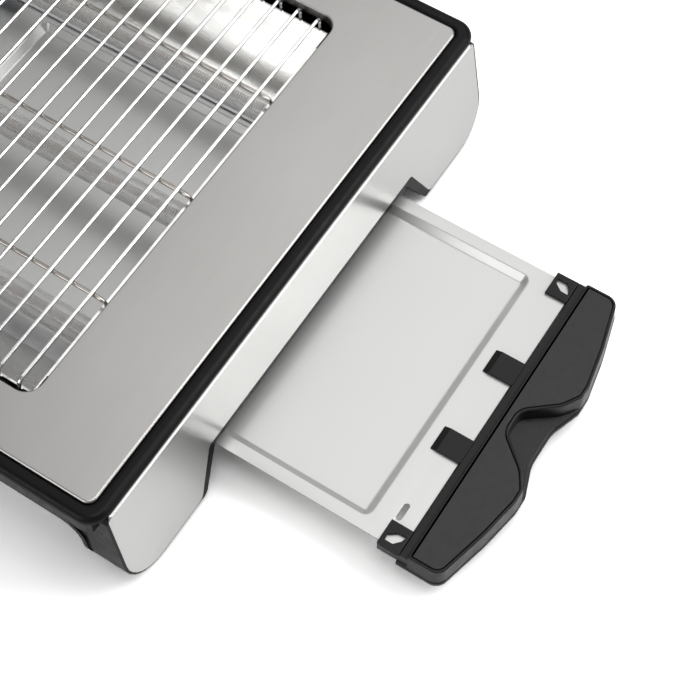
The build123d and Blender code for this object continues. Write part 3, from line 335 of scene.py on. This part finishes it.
bead_rows = np.concatenate([
    rows_on(plate_outline, [(-frame_ledge, top - frame_depth)]),
    skirt,
    rows_on(frame_outline, [(-0.2, top - end_drop), (0, top - end_drop + 0.2)] + outer_round),
    rows_on(
        plate_outline, inner_round + [(groove, top - plate_lip), (-frame_ledge, top - plate_lip)]
    ),
])
black_body = coat("satin black moulding", (0.004, 0.004, 0.0043), 0, 0.3, 0.12)
vary_roughness(black_body, speckle(black_body, 260), 0.28, 0.42)
raise_grain(black_body, speckle(black_body, 2600, detail=2), 0.08, 0.03)
make("frame_bead", [hoop(bead_rows, closed=True)], black_body, "body",
     ["top_frame"])

# End panels and end caps: a fine brushed steel sheet set into a hollow black moulding that leans
# out towards the table, the sheet's edge rounded over the moulding's lip. The tray end has the
# tray's notch, the control end a low arch between its legs.
lean = tan(radians(7.2))
cap_reach, cap_back, cap_wall, cap_border, cut_border = 5.8, 3.0, 2.4, 1.2, 3.0
leg_depth, leg_round, leg_inner, end_draft = 48.9, 14.5, 75.0, 2.2
panel_proud, panel_top_round = 0.2, 2.0


def end_outline(grow, inner, cut_half, cut_depth, top_round, steps=9):
    """Upright outline of an end as (y, height): straight top, drafted sides, round feet and a cut
    between them. It is grown by `grow`, but for the top."""
    low_half, deep = half_width + end_draft + grow, leg_depth + grow
    right = [
        (inner, top - deep, 3.0),
        (low_half, top - deep, leg_round + grow),
        (half_width + grow, top - end_drop, top_round),
    ]
    left = [(-y, z, r) for y, z, r in right[::-1]]
    cut = [(-cut_half, top - cut_depth, 2.5), (cut_half, top - cut_depth, 2.5)]
    y, z, r = zip(*(right + left + cut))
    return rounded(list(zip(y, z)), r, steps)


def leaning_rows(outline, profile, end):
    """Rows on the leaning face of an end, from a profile of (grow, inset): x is the cap's reach
    plus depth * tan(lean) beyond the plate, less the inset."""
    places, outward = outline
    grow, inset = np.array(profile, float).T
    flat = places[None] + outward[None] * grow[:, None, None]
    edge = near_edge if end > 0 else far_edge
    x = edge + end * (cap_reach + (top - flat[..., 1]) * lean - inset[:, None])
    return np.concatenate([x[..., None], flat], -1)


def upright_rows(outline, grows, x):
    """Rows of an end outline on one upright plane."""
    rows = leaning_rows(outline, [(grow, 0) for grow in grows], 1)
    rows[..., 0] = x
    return rows


brushed_end = coat("fine brushed steel, end panels", (0.56, 0.56, 0.55), 1, 0.24)
vary_roughness(brushed_end, speckle(brushed_end, 60, (30, 1, 30), 5), 0.2, 0.27)
raise_grain(brushed_end, speckle(brushed_end, 50, (40, 1, 40), 4), 0.04, 0.03)
ends = {"tray_end": (1, 64.5, 28.4), "control_end": (-1, 70.0, 43.2)}
for name, (end, cut_half, cut_depth) in ends.items():
    panel = end_outline(0, leg_inner, cut_half, cut_depth, panel_top_round)
    cap = end_outline(
        cap_border, leg_inner - cut_border, cut_half - cut_border, cut_depth + cut_border, 2.6
    )
    back_x = near_edge - cap_back if end > 0 else far_edge + cap_back
    cap_rows = np.concatenate([
        leaning_rows(cap, [(-cap_wall, cap_wall)], end),
        upright_rows(cap, [-cap_wall, 0], back_x),
        leaning_rows(cap, [(0, 0.5), (-0.15, 0.15), (-0.5, 0)], end),
        leaning_rows(panel, [(0.15, 0), (0.15, 0.8)], end),
    ])
    make(f"{name}_moulding", [hoop(cap_rows)], black_body, "body",
         [f"{name}_cap"])
    panel_rows = leaning_rows(
        panel, [(0.2, 0.8), (0.2, 0.1), (0.12, -0.02), (-0.06, -panel_proud)], end
    )
    make(f"{name}_sheet", [hoop(panel_rows)], brushed_end, "body",
         [f"{name}_panel"])

# Grille: round steel wire with a bright plating. 21 cross wires with turned-down ends are spot
# welded on three rods that run lengthwise; the rods lie nearer the heat and have dulled.


def bent_rod(half_span, level, leg, bend, radius, around=10, steps=7):
    """A round rod along one level axis, as (along, side, up) rows: up a leg, round a quarter turn,
    straight over, and down again. Each row is a ring square to the path, smaller at the tips."""
    turn = np.linspace(0, pi / 2, steps)
    along = -half_span + bend - bend * np.cos(turn)
    up = level - bend + bend * np.sin(turn)
    tip = np.array([level - leg, level - leg + radius * 0.35])
    along = np.concatenate([[-half_span, -half_span], along])
    up = np.concatenate([tip, up])
    slope = np.concatenate([[pi / 2, pi / 2], pi / 2 - turn])
    size = np.concatenate([[0.55, 1.0], np.ones(steps)]) * radius
    along = np.concatenate([along, -along[::-1]])
    up = np.concatenate([up, up[::-1]])
    slope = np.concatenate([slope, -slope[::-1]])
    size = np.concatenate([size, size[::-1]])
    ring = np.linspace(0, 2 * pi, around, endpoint=False)
    lift = size[:, None] * np.sin(ring)[None]
    side = size[:, None] * np.cos(ring)[None]
    return np.stack([along[:, None] - lift * np.sin(slope)[:, None], side,
                     up[:, None] + lift * np.cos(slope)[:, None]], -1)


wire_low, wire_high = node_box("grille_wires")
rod_low, rod_high = node_box("grille_rods")
wire_radius, wire_leg, wire_bend, wire_count = 0.75, 12.0, 2.6, 21
wire_rows = bent_rod(wire_high[1] - wire_radius, top, wire_leg, wire_bend, wire_radius)
wire_places = np.linspace(wire_high[0] - wire_radius, wire_low[0] + wire_radius, wire_count)
wires = [hoop(wire_rows[..., [1, 0, 2]] + (x, 0, 0)) for x in wire_places]
plated = coat("bright plated wire", (0.76, 0.76, 0.75), 1, 0.17)
vary_roughness(plated, speckle(plated, 300), 0.15, 0.2)
make("cross_wires", wires, plated, "body", ["grille_wires"])
rod_radius, rod_leg, rod_bend, rod_spacing = 0.8, 9.0, 3.4, 49.06
rod_middle, rod_half = (rod_low[0] + rod_high[0]) / 2, (rod_high[0] - rod_low[0]) / 2
rod_rows = bent_rod(
    rod_half - rod_radius, rod_high[2] - rod_radius, rod_leg, rod_bend, rod_radius, 12
)
rods = [hoop(rod_rows + (rod_middle, y, 0)) for y in (-rod_spacing, 0, rod_spacing)]
dull_plated = coat("plated rod, dulled by heat", (0.5, 0.47, 0.44), 1, 0.2)
vary_colour(dull_plated, speckle(dull_plated, 160), (0.42, 0.39, 0.36), (0.58, 0.55, 0.52))
make("support_rods", rods, dull_plated, "body", ["grille_rods"])

# Reflector well: bright folded sheet with sloping sides under the grille, and flanges on its ends
# that rest on the tube brackets.
bright_sheet = coat("bright reflector sheet", (0.74, 0.735, 0.72), 1, 0.24)
vary_roughness(bright_sheet, speckle(bright_sheet, 30, (1, 6, 6), 4), 0.16, 0.34)
raise_grain(bright_sheet, speckle(bright_sheet, 14, detail=2), 0.06, 0.6)


def dress(finish, *names):
    """Gives CAD nodes a finish."""
    for name in names:
        for place in nodes[name].material_slots:
            place.material = finish


dress(bright_sheet, "reflector_well")

# Heating tubes: clear quartz, each with a wound wire inside and a ceramic cap on both ends, held
# level across the well by the caps.


def turned(profile, centre, along="x", around=40):
    """A profile of (along, radius) turned once about a line through the centre."""
    step, radius = np.array(profile, float).T
    angle = np.linspace(0, 2 * pi, around, endpoint=False)
    rows = np.stack([
        np.broadcast_to(step[:, None], (len(step), around)),
        radius[:, None] * np.cos(angle)[None],
        radius[:, None] * np.sin(angle)[None],
    ], -1)
    if along == "z":
        rows = rows[..., [1, 2, 0]]
    return rows + np.array(centre, float)


def wound(start, stop, y, z, winding, wire, pitch, around=5, places=12):
    """A coil of round wire along X. The wire's middle goes round at the winding radius and moves
    one pitch along for each turn."""
    turns = (stop - start) / pitch
    angle = np.linspace(0, 2 * pi * turns, int(turns * places))[:, None]
    ring = np.linspace(0, 2 * pi, around, endpoint=False)[None]
    out = winding + wire * np.cos(ring)
    return np.stack([
        start + (stop - start) * angle / angle[-1] + wire * np.sin(ring),
        y + out * np.cos(angle),
        z + out * np.sin(angle),
    ], -1)


quartz = coat("quartz glass", (0.93, 0.93, 0.92), 0, 0.06)
quartz_shader = quartz.node_tree.nodes["Principled BSDF"]
quartz_shader.inputs["Transmission Weight"].default_value = 0.82
quartz_shader.inputs["IOR"].default_value = 1.45
vary_roughness(quartz, speckle(quartz, 60, (0.4, 3, 3)), 0.03, 0.14)
hot_wire = coat("resistance wire, blued by heat", (0.30, 0.24, 0.21), 1, 0.42)
vary_colour(hot_wire, speckle(hot_wire, 90), (0.24, 0.18, 0.16), (0.40, 0.33, 0.30))
fired = coat("unglazed ceramic", (0.84, 0.81, 0.74), 0, 0.75)
vary_colour(fired, speckle(fired, 500), (0.78, 0.75, 0.68), (0.88, 0.86, 0.80))
raise_grain(fired, speckle(fired, 1800), 0.25, 0.08)
tube_radius, tube_bore, tube_edge = 5.0, 4.0, 0.3
coil_radius, coil_wire, coil_pitch, lead_radius, lead_length = 2.0, 0.24, 1.0, 0.8, 21.5
ceramic_radius, ceramic_socket, ceramic_depth, lead_bore = 6.5, 5.06, 6.0, 0.85
for number in (1, 2, 3):
    low, high = node_box(f"quartz_tube_{number}")
    y, z = (low[1:] + high[1:]) / 2
    tube = turned([
        (low[0], tube_bore + 0.2), (low[0], tube_radius - 0.2),
        (low[0] + tube_edge, tube_radius), (high[0] - tube_edge, tube_radius),
        (high[0], tube_radius - 0.2), (high[0], tube_bore + 0.2),
        (high[0] - tube_edge, tube_bore), (low[0] + tube_edge, tube_bore),
    ], (0, y, z))
    make(f"tube_{number}", [hoop(tube, closed=True)], quartz, "body",
         [f"quartz_tube_{number}"])
    low, high = node_box(f"heating_coil_{number}")
    coil = wound(
        low[0] + lead_length - 1.5, high[0] - lead_length + 1.5, y, z,
        coil_radius, coil_wire, coil_pitch,
    )
    leads = [
        turned([
            (start, lead_radius - 0.4), (start + 0.4, lead_radius),
            (stop - 0.4, lead_radius), (stop, lead_radius - 0.4),
        ], (0, y, z), around=10)
        for start, stop in ((low[0], low[0] + lead_length), (high[0] - lead_length, high[0]))
    ]
    make(f"coil_{number}", [hoop(coil)] + [hoop(lead) for lead in leads], hot_wire,
         "body", [f"heating_coil_{number}"])
    for end in ("tray_end", "control_end"):
        node = f"ceramic_cap_{end}_{number}"
        low, high = node_box(node)
        out, mouth = (high[0], low[0]) if end == "tray_end" else (low[0], high[0])
        way = 1 if end == "tray_end" else -1
        profile = [
            (mouth + way * ceramic_depth, lead_bore), (mouth + way * ceramic_depth, ceramic_socket),
            (mouth + way * 0.4, ceramic_socket), (mouth, ceramic_socket + 0.34),
            (mouth, ceramic_radius - 0.4), (mouth + way * 0.4, ceramic_radius),
            (out - way * 1.0, ceramic_radius), (out - way * 0.3, ceramic_radius - 0.3),
            (out, ceramic_radius - 1.0), (out, lead_bore),
        ]
        make(f"{end}_ceramic_{number}", [hoop(turned(profile, (0, y, z)), closed=True)], fired,
             "body", [node])

# Tube brackets, base pan and tray runners: plain zinc-coated sheet, folded. The brackets carry the
# tubes' caps, the runners guide the tray, and the pan is screwed to the side rails from below.
zinc_sheet = coat("zinc-coated sheet", (0.56, 0.57, 0.58), 1, 0.42)
vary_colour(zinc_sheet, speckle(zinc_sheet, 45, detail=5), (0.48, 0.49, 0.50), (0.64, 0.65, 0.66))
vary_roughness(zinc_sheet, speckle(zinc_sheet, 70), 0.34, 0.55)
dress(zinc_sheet, "base_pan", "front_tray_runner", "back_tray_runner", "tray_end_tube_bracket",
      "control_end_tube_bracket")

# Bus bars: a thin brass strip across the tubes at each end, with a hole for each lead, so that
# the tubes share one supply.
brass = coat("plain brass strip", (0.70, 0.58, 0.33), 1, 0.34)
vary_colour(brass, speckle(brass, 200), (0.60, 0.48, 0.27), (0.76, 0.64, 0.38))
dress(brass, "tray_end_bus_bar", "control_end_bus_bar")

# Side rails: black walls between the end mouldings, swept down into the legs, their lower edge
# thickened by a fine lip. Moulded in the same black as the frame.


def softened(name, node, finish, body, edge):
    """A copy of a CAD solid with its corners merged, its flat faces joined again and its edges
    rounded by a bevel `edge` millimetres wide."""
    mesh = nodes[node].data.copy()
    work = bmesh.new()
    work.from_mesh(mesh)
    bmesh.ops.remove_doubles(work, verts=work.verts, dist=2e-6)
    bmesh.ops.dissolve_limit(work, angle_limit=radians(1), verts=work.verts, edges=work.edges)
    work.to_mesh(mesh)
    work.free()
    mesh.polygons.foreach_set("use_smooth", np.ones(len(mesh.polygons), bool))
    mesh.set_sharp_from_angle(angle=radians(40))
    mesh.materials.clear()
    mesh.materials.append(finish)
    piece = bpy.data.objects.new(name, mesh)
    scene.collection.objects.link(piece)
    bevel = piece.modifiers.new("rounded edges", "BEVEL")
    bevel.width = edge / 1000
    bevel.segments = 2
    bevel.limit_method = "ANGLE"
    bevel.angle_limit = radians(45)
    bevel.harden_normals = True
    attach(piece, body)
    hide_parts(node)


for side in ("front", "back"):
    softened(f"{side}_rail", f"{side}_side_rail", black_body, "body", 0.3)

# Rubber feet: small soft pads moulded in black rubber, each with a stem pushed up into the sole
# of a leg.
rubber = coat("black rubber", (0.045, 0.045, 0.045), 0, 0.8)
vary_roughness(rubber, speckle(rubber, 500), 0.7, 0.9)
raise_grain(rubber, speckle(rubber, 1500), 0.2, 0.06)
foot_radius, stem_radius, stem_length = 5.0, 2.5, 4.0
for number in (1, 2, 3, 4):
    low, high = node_box(f"rubber_foot_{number}")
    centre = ((low[0] + high[0]) / 2, (low[1] + high[1]) / 2, 0)
    shoulder = high[2] - stem_length
    pad = [
        (0.4, 0.6), (0.4, 2.4), (0, 2.9), (0, foot_radius - 0.8), (0.25, foot_radius - 0.25),
        (0.8, foot_radius), (shoulder, foot_radius), (shoulder, stem_radius),
        (high[2] - 0.4, stem_radius), (high[2], stem_radius - 0.4),
    ]
    make(f"foot_{number}", [hoop(turned(pad, centre, "z"))], rubber, "body",
         [f"rubber_foot_{number}"])

# Screws and timer shaft: zinc-plated steel. The screws have plain low heads and are driven from
# below, through the pan into the side rails and up into the handle. The shaft carries the knob.
zinc = coat("zinc-plated screw", (0.64, 0.64, 0.62), 1, 0.3)
vary_roughness(zinc, speckle(zinc, 800), 0.22, 0.42)
dress(zinc, "base_screws", "handle_screws", "timer_shaft")

# Timer, lamp and cord inlet at the control end: a moulded case behind the end moulding, a knob on
# its shaft, an amber lens, and a rubber gland that a power cord is pushed through.
case = coat("dark moulded case", (0.11, 0.10, 0.095), 0, 0.55)
raise_grain(case, speckle(case, 1400), 0.2, 0.06)
cream = coat("cream moulding", (0.80, 0.76, 0.67), 0, 0.5)
raise_grain(cream, speckle(cream, 1400), 0.15, 0.05)
pale_metal = coat("lacquered fuse case", (0.72, 0.71, 0.69), 0.3, 0.4)
vary_roughness(pale_metal, speckle(pale_metal, 400), 0.3, 0.5)
sleeve = coat("woven glass sleeve", (0.76, 0.74, 0.68), 0, 0.85)
raise_grain(sleeve, speckle(sleeve, 1500, (1, 2, 2)), 0.6, 0.25)
dress(case, "timer_body")
dress(cream, "terminal_block", "indicator_lamp")
dress(pale_metal, "thermal_fuse")
dress(sleeve, "lead_wires")
matt_black = coat("matt black moulding, knob", (0.035, 0.035, 0.037), 0, 0.48)
raise_grain(matt_black, speckle(matt_black, 2000), 0.25, 0.05)
softened("knob", "timer_knob", matt_black, "timer_knob", 0.35)
amber = coat("amber lens", (0.85, 0.30, 0.04), 0, 0.12)
amber_shader = amber.node_tree.nodes["Principled BSDF"]
amber_shader.inputs["Transmission Weight"].default_value = 0.5
vary_roughness(amber, speckle(amber, 300), 0.06, 0.2)
lens_radius = 3.5
low, high = node_box("indicator_lens")
centre = (0, (low[1] + high[1]) / 2, (low[2] + high[2]) / 2)
dome = [
    (high[0], 0.4), (high[0], lens_radius), (low[0] + 1.0, lens_radius),
    (low[0] + 0.5, lens_radius - 0.2), (low[0] + 0.15, lens_radius - 1.0), (low[0], 1.3),
    (low[0], 0.4),
]
make("lens", [hoop(turned(dome, centre))], amber, "body", ["indicator_lens"])
gland_finish = coat("black rubber, gland", (0.05, 0.05, 0.05), 0, 0.7)
raise_grain(gland_finish, speckle(gland_finish, 1500), 0.2, 0.05)
gland_bore, gland_flange, gland_flange_depth, gland_neck, gland_tail = 3.5, 8.5, 3.0, 6.0, 5.5
low, high = node_box("cord_gland")
centre = (0, (low[1] + high[1]) / 2, (low[2] + high[2]) / 2)
wall, seated = far_edge + cap_back, low[0] + gland_flange_depth
gland_profile = [
    (low[0] + 0.4, gland_bore), (low[0], gland_bore + 0.4), (low[0], gland_flange - 0.9),
    (low[0] + 0.3, gland_flange - 0.3), (low[0] + 0.9, gland_flange),
    (seated - 0.4, gland_flange), (seated, gland_flange - 0.4), (seated, gland_neck),
    (wall, gland_neck), (wall, gland_tail), (high[0] - 0.4, gland_tail),
    (high[0], gland_tail - 0.4), (high[0], gland_bore + 0.4), (high[0] - 0.4, gland_bore),
]
make("gland", [hoop(turned(gland_profile, centre), closed=True)], gland_finish,
     "body", ["cord_gland"])

# Crumb tray: one pale sheet with a flat rim, a pressed recess with sloping sides, rounded corners
# and one oblong slot near the handle.
tray_low, tray_high = node_box("crumb_tray")
tray_top, tray_half = tray_high[2], tray_high[1]
tray_sheet, tray_corner, square_corner = 0.6, 2.0, 0.0001
recess_near, recess_far, recess_half = near_edge + 66.2, near_edge - 153.5, tray_half - 4.9
recess_corner, recess_depth = 3.2, 2.8
slot_x, slot_y, slot_half_length, slot_half_width = near_edge + 74.9, 12.6 - tray_half, 3.5, 1.1
seam = slot_x - 3.0


def flat_ring(outer, inner, level):
    """A level strip between two outlines with the same number of corners."""
    return np.concatenate([rows_on(outer, [(0, level)]), rows_on(inner, [(0, level)])])


rim = rounded(
    rectangle(tray_low[0], seam, -tray_half, tray_half),
    [square_corner, square_corner, tray_corner, tray_corner], 7,
)
recess = rounded(
    rectangle(recess_far, recess_near, -recess_half, recess_half), recess_corner, 7
)
front_rim = rounded(
    rectangle(seam, tray_high[0], -tray_half, tray_half),
    [tray_corner, tray_corner, square_corner, square_corner], 7,
)
slot = rounded(
    rectangle(
        slot_x - slot_half_width, slot_x + slot_half_width,
        slot_y - slot_half_length, slot_y + slot_half_length,
    ),
    slot_half_width - 0.01, 7,
)
recess_floor = tray_top - recess_depth
press = [
    (0.5, tray_top), (0.15, tray_top - 0.06), (-0.2, tray_top - 0.25),
    (-2.2, recess_floor + 0.25), (-2.55, recess_floor + 0.06), (-3.0, recess_floor),
]
hollow = np.concatenate([rows_on(rim, [(0, tray_top)]), rows_on(recess, press)])
floor_rows = hoop(hollow, ends=False)
last_row = np.arange(hollow.shape[1])[None] + (len(hollow) - 1) * hollow.shape[1]
floor_rows[1].append(last_row)
pale_sheet = coat("smooth pale sheet", (0.52, 0.52, 0.515), 0.55, 0.32)
vary_roughness(pale_sheet, speckle(pale_sheet, 26, detail=4), 0.3, 0.35)
raise_grain(pale_sheet, speckle(pale_sheet, 12, detail=2), 0.05, 0.4)
front_strip = hoop(flat_ring(front_rim, slot, tray_top), ends=False)
make("tray_sheet", [floor_rows, front_strip], pale_sheet, "crumb_tray",
     ["crumb_tray"], sheet=tray_sheet)

# Tray handle grip: a black moulding that wraps the tray's front edge, with two tabs and two clips
# over the sheet, a bar along its back, a bow-shaped upper part and a finger ledge below it. In the
# finger dip the ledge rises in a shallow ramp towards the upper part.


wrap, bar_height, sheet_gap, tab_back, tab_depth = 1.5, 1.4, 0.02, 73.4, 8.1


def bow(half_corners, radii, steps=9):
    """The whole outline of a handle part from half of it: its corners from the back round to the
    dip at -y, then the same corners the other way at +y."""
    half = [(near_edge + x, y) for x, y in half_corners]
    return rounded([(x, -y) for x, y in half] + half[::-1], list(radii) + list(radii)[::-1], steps)


def bar_along_y(section, rounding, start, stop):
    """A bar of one section in (x, height), carried along y, with its edges eased at both ends."""
    ease = [(-0.3, start), (-0.08, start + 0.08), (0, start + 0.3), (0, stop - 0.3),
            (-0.08, stop - 0.08), (-0.3, stop)]
    return hoop(rows_on(rounded(section, rounding, 4), ease)[..., [0, 2, 1]])


def sight_lines(corners, centre):
    """Directions from a centre to each corner, as angles."""
    offset = np.array(corners, float) - centre
    return np.arctan2(offset[:, 1], offset[:, 0])


def seen_from(corners, centre, angles):
    """Where rays from a centre meet a polygon. Along a ray an edge is as far as its own distance
    over the cosine of the ray's angle to its normal, and the nearest edge counts."""
    corners = np.array(corners, float)
    run = np.roll(corners, -1, 0) - corners
    normal = np.stack([run[:, 1], -run[:, 0]], -1) / np.linalg.norm(run, axis=1, keepdims=True)
    distance = (normal * (corners - centre)).sum(1)
    ray = np.stack([np.cos(angles), np.sin(angles)], -1)
    facing = ray @ normal.T
    reach = np.where(facing > 1e-6, distance / np.maximum(facing, 1e-6), 1e9).min(1)
    return centre + ray * reach[:, None]


def tab_plate(side):
    """An end tab: a small plate with a pointed hole."""
    hole = [(75.0, 0.7), (78.2, 0.7), (80.2, 2.9), (80.9, 5.0), (77.9, 4.8), (75.0, 2.7)]
    hole = [(near_edge + x, side * (tray_half - inward)) for x, inward in hole]
    outer = rectangle(
        near_edge + tab_back, near_edge + 81.9, tray_half - tab_depth, tray_half + wrap
    )
    outer = [(x, side * y) for x, y in outer]
    hole, outer = (hole[::-1], outer) if side > 0 else (hole, outer[::-1])
    centre = np.mean(hole, 0)
    angles = np.unique(np.concatenate([
        sight_lines(hole, centre),
        sight_lines(outer, centre),
        np.linspace(-pi, pi, 40, endpoint=False),
    ]))
    edge, rim = seen_from(outer, centre, angles), seen_from(hole, centre, angles)
    toward = (centre - edge) / np.linalg.norm(centre - edge, axis=1, keepdims=True)
    upper, under = tray_top + bar_height, tray_top + sheet_gap

    def level(flat, z):
        return np.concatenate([flat, np.full((len(flat), 1), z)], -1)[None]

    return hoop(np.concatenate([
        level(edge, under),
        level(edge, upper - 0.3),
        level(edge + toward * 0.1, upper - 0.08),
        level(edge + toward * 0.35, upper),
        level(rim - toward * 0.2, upper),
        level(rim, upper - 0.2),
        level(rim, under),
    ]), closed=True)


upper_half = [
    (85, tray_half + wrap), (97.2, tray_half + wrap), (102.4, 41), (105.2, 25.5), (105.2, 20.6),
    (101.2, 14), (89.9, 4.6),
]
upper_outline = bow(upper_half, [0.9, 4.5, 60, 8, 3, 12, 6])
lower_half = [
    (81, tray_half + 2.3), (97.8, tray_half + 2.3), (103.2, 41), (106, 25.5), (106, 18.6),
    (101.9, 7),
]
lower_outline = bow(lower_half, [0.8, 4.8, 60, 8, 5, 14])
crown, ledge, under = tray_top + 3.5, tray_top - 4, tray_top - 7
ledge_round, crown_round, cover_sheet = 1.4, 0.4, 1.6
seat = crown - cover_sheet
lower_part = rows_on(
    lower_outline,
    [(-0.7, under), (-0.2, under + 0.15), (0, under + 0.6)]
    + arc(-ledge_round, ledge - ledge_round, ledge_round, 0, 90),
)
upper_part = rows_on(
    upper_outline,
    [(0.54, ledge - 0.3), (0.04, crown - 0.45)]
    + arc(-crown_round, crown - crown_round, crown_round, 0, 90, 5)
    + [(-0.72, crown), (-0.86, crown - 0.12), (-0.86, seat)],
)
bar_back = near_edge + 81.6
bar_front, bar_top, joined = bar_back + 5.4, tray_top + bar_height, bar_back + 0.5
clip_back, clip_rise, skirt_back, skirt_low = bar_back - 11.1, 2.4, bar_back - 8.2, tray_top - 4.6
bar_section = [
    (bar_back, ledge - 0.2), (bar_front, ledge - 0.2), (bar_front, bar_top),
    (bar_back + 0.7, bar_top), (bar_back, bar_top - 0.7),
]
clip_section = [
    (clip_back, tray_top + sheet_gap), (joined, tray_top + sheet_gap), (joined, bar_top),
    (clip_back + clip_rise, bar_top), (clip_back, tray_top + 0.5),
]
skirt_section = [
    (skirt_back, skirt_low), (joined, skirt_low), (joined, bar_top - 0.3),
    (skirt_back, bar_top - 0.3),
]
dip_half, ramp_back, ramp_rise = 20.4, near_edge + 88, 1.9
across = np.linspace(-dip_half, dip_half, 35)
lip = lower_outline[0][lower_outline[0][:, 0] > near_edge + 98]
lip = lip[np.argsort(lip[:, 1])]
front = np.interp(across, lip[:, 1], lip[:, 0]) - ledge_round
share = np.linspace(0, 1, 9)
x = ramp_back + (front[:, None] - ramp_back) * share
height = ledge + 0.1 + ramp_rise * (1 - share)
ramp = np.stack(np.broadcast_arrays(x, across[:, None], height), -1)
below = ramp[:, [-1, 0]] * (1, 1, 0) + (0, 0, ledge - 0.4)
bar_corners, clip_corners = [0.2, 0.2, 0.2, 0.15, 0.15], [0.1, 0.1, 0.2, 0.3, 0.15]
clip_inner, clip_outer = 12.6, 22.4
parts = [
    hoop(lower_part),
    hoop(upper_part),
    hoop(np.concatenate([ramp, below], 1)),
    bar_along_y(bar_section, bar_corners, -tray_half - wrap, tray_half + wrap),
]
for side in (-1, 1):
    clip = sorted([side * clip_inner, side * clip_outer])
    parts.append(bar_along_y(clip_section, clip_corners, *clip))
    skirt_y = sorted([side * (tray_half + 0.1), side * (tray_half + wrap)])
    parts.append(bar_along_y(skirt_section, 0.25, *skirt_y))
    parts.append(tab_plate(side))
black_grip = coat("satin black moulding, handle", (0.006, 0.0055, 0.0055), 0, 0.3, 0.22)
vary_roughness(black_grip, speckle(black_grip, 300), 0.24, 0.38)
raise_grain(black_grip, speckle(black_grip, 2600, detail=2), 0.08, 0.03)
make("handle_grip", parts, black_grip, "crumb_tray", ["tray_handle_grip"])

# Tray handle cover: a bow-shaped plate moulded in fine matt black and let into the grip's top, so
# that a narrow groove runs round it.
cover_inset, cover_round = 1.2, 0.35
cover_profile = [(-cover_inset, seat), (-cover_inset, crown - cover_round)] + arc(
    -cover_inset - cover_round, crown - cover_round, cover_round, 0, 90, 5
)
matt_cover = coat("fine matt moulding, cover", (0.02, 0.02, 0.0205), 0, 0.5, 0.3)
vary_roughness(matt_cover, speckle(matt_cover, 500), 0.45, 0.58)
raise_grain(matt_cover, speckle(matt_cover, 3800, detail=2), 0.25, 0.04)
make("handle_cover", [hoop(rows_on(upper_outline, cover_profile))], matt_cover,
     "crumb_tray", ["tray_handle_cover"])
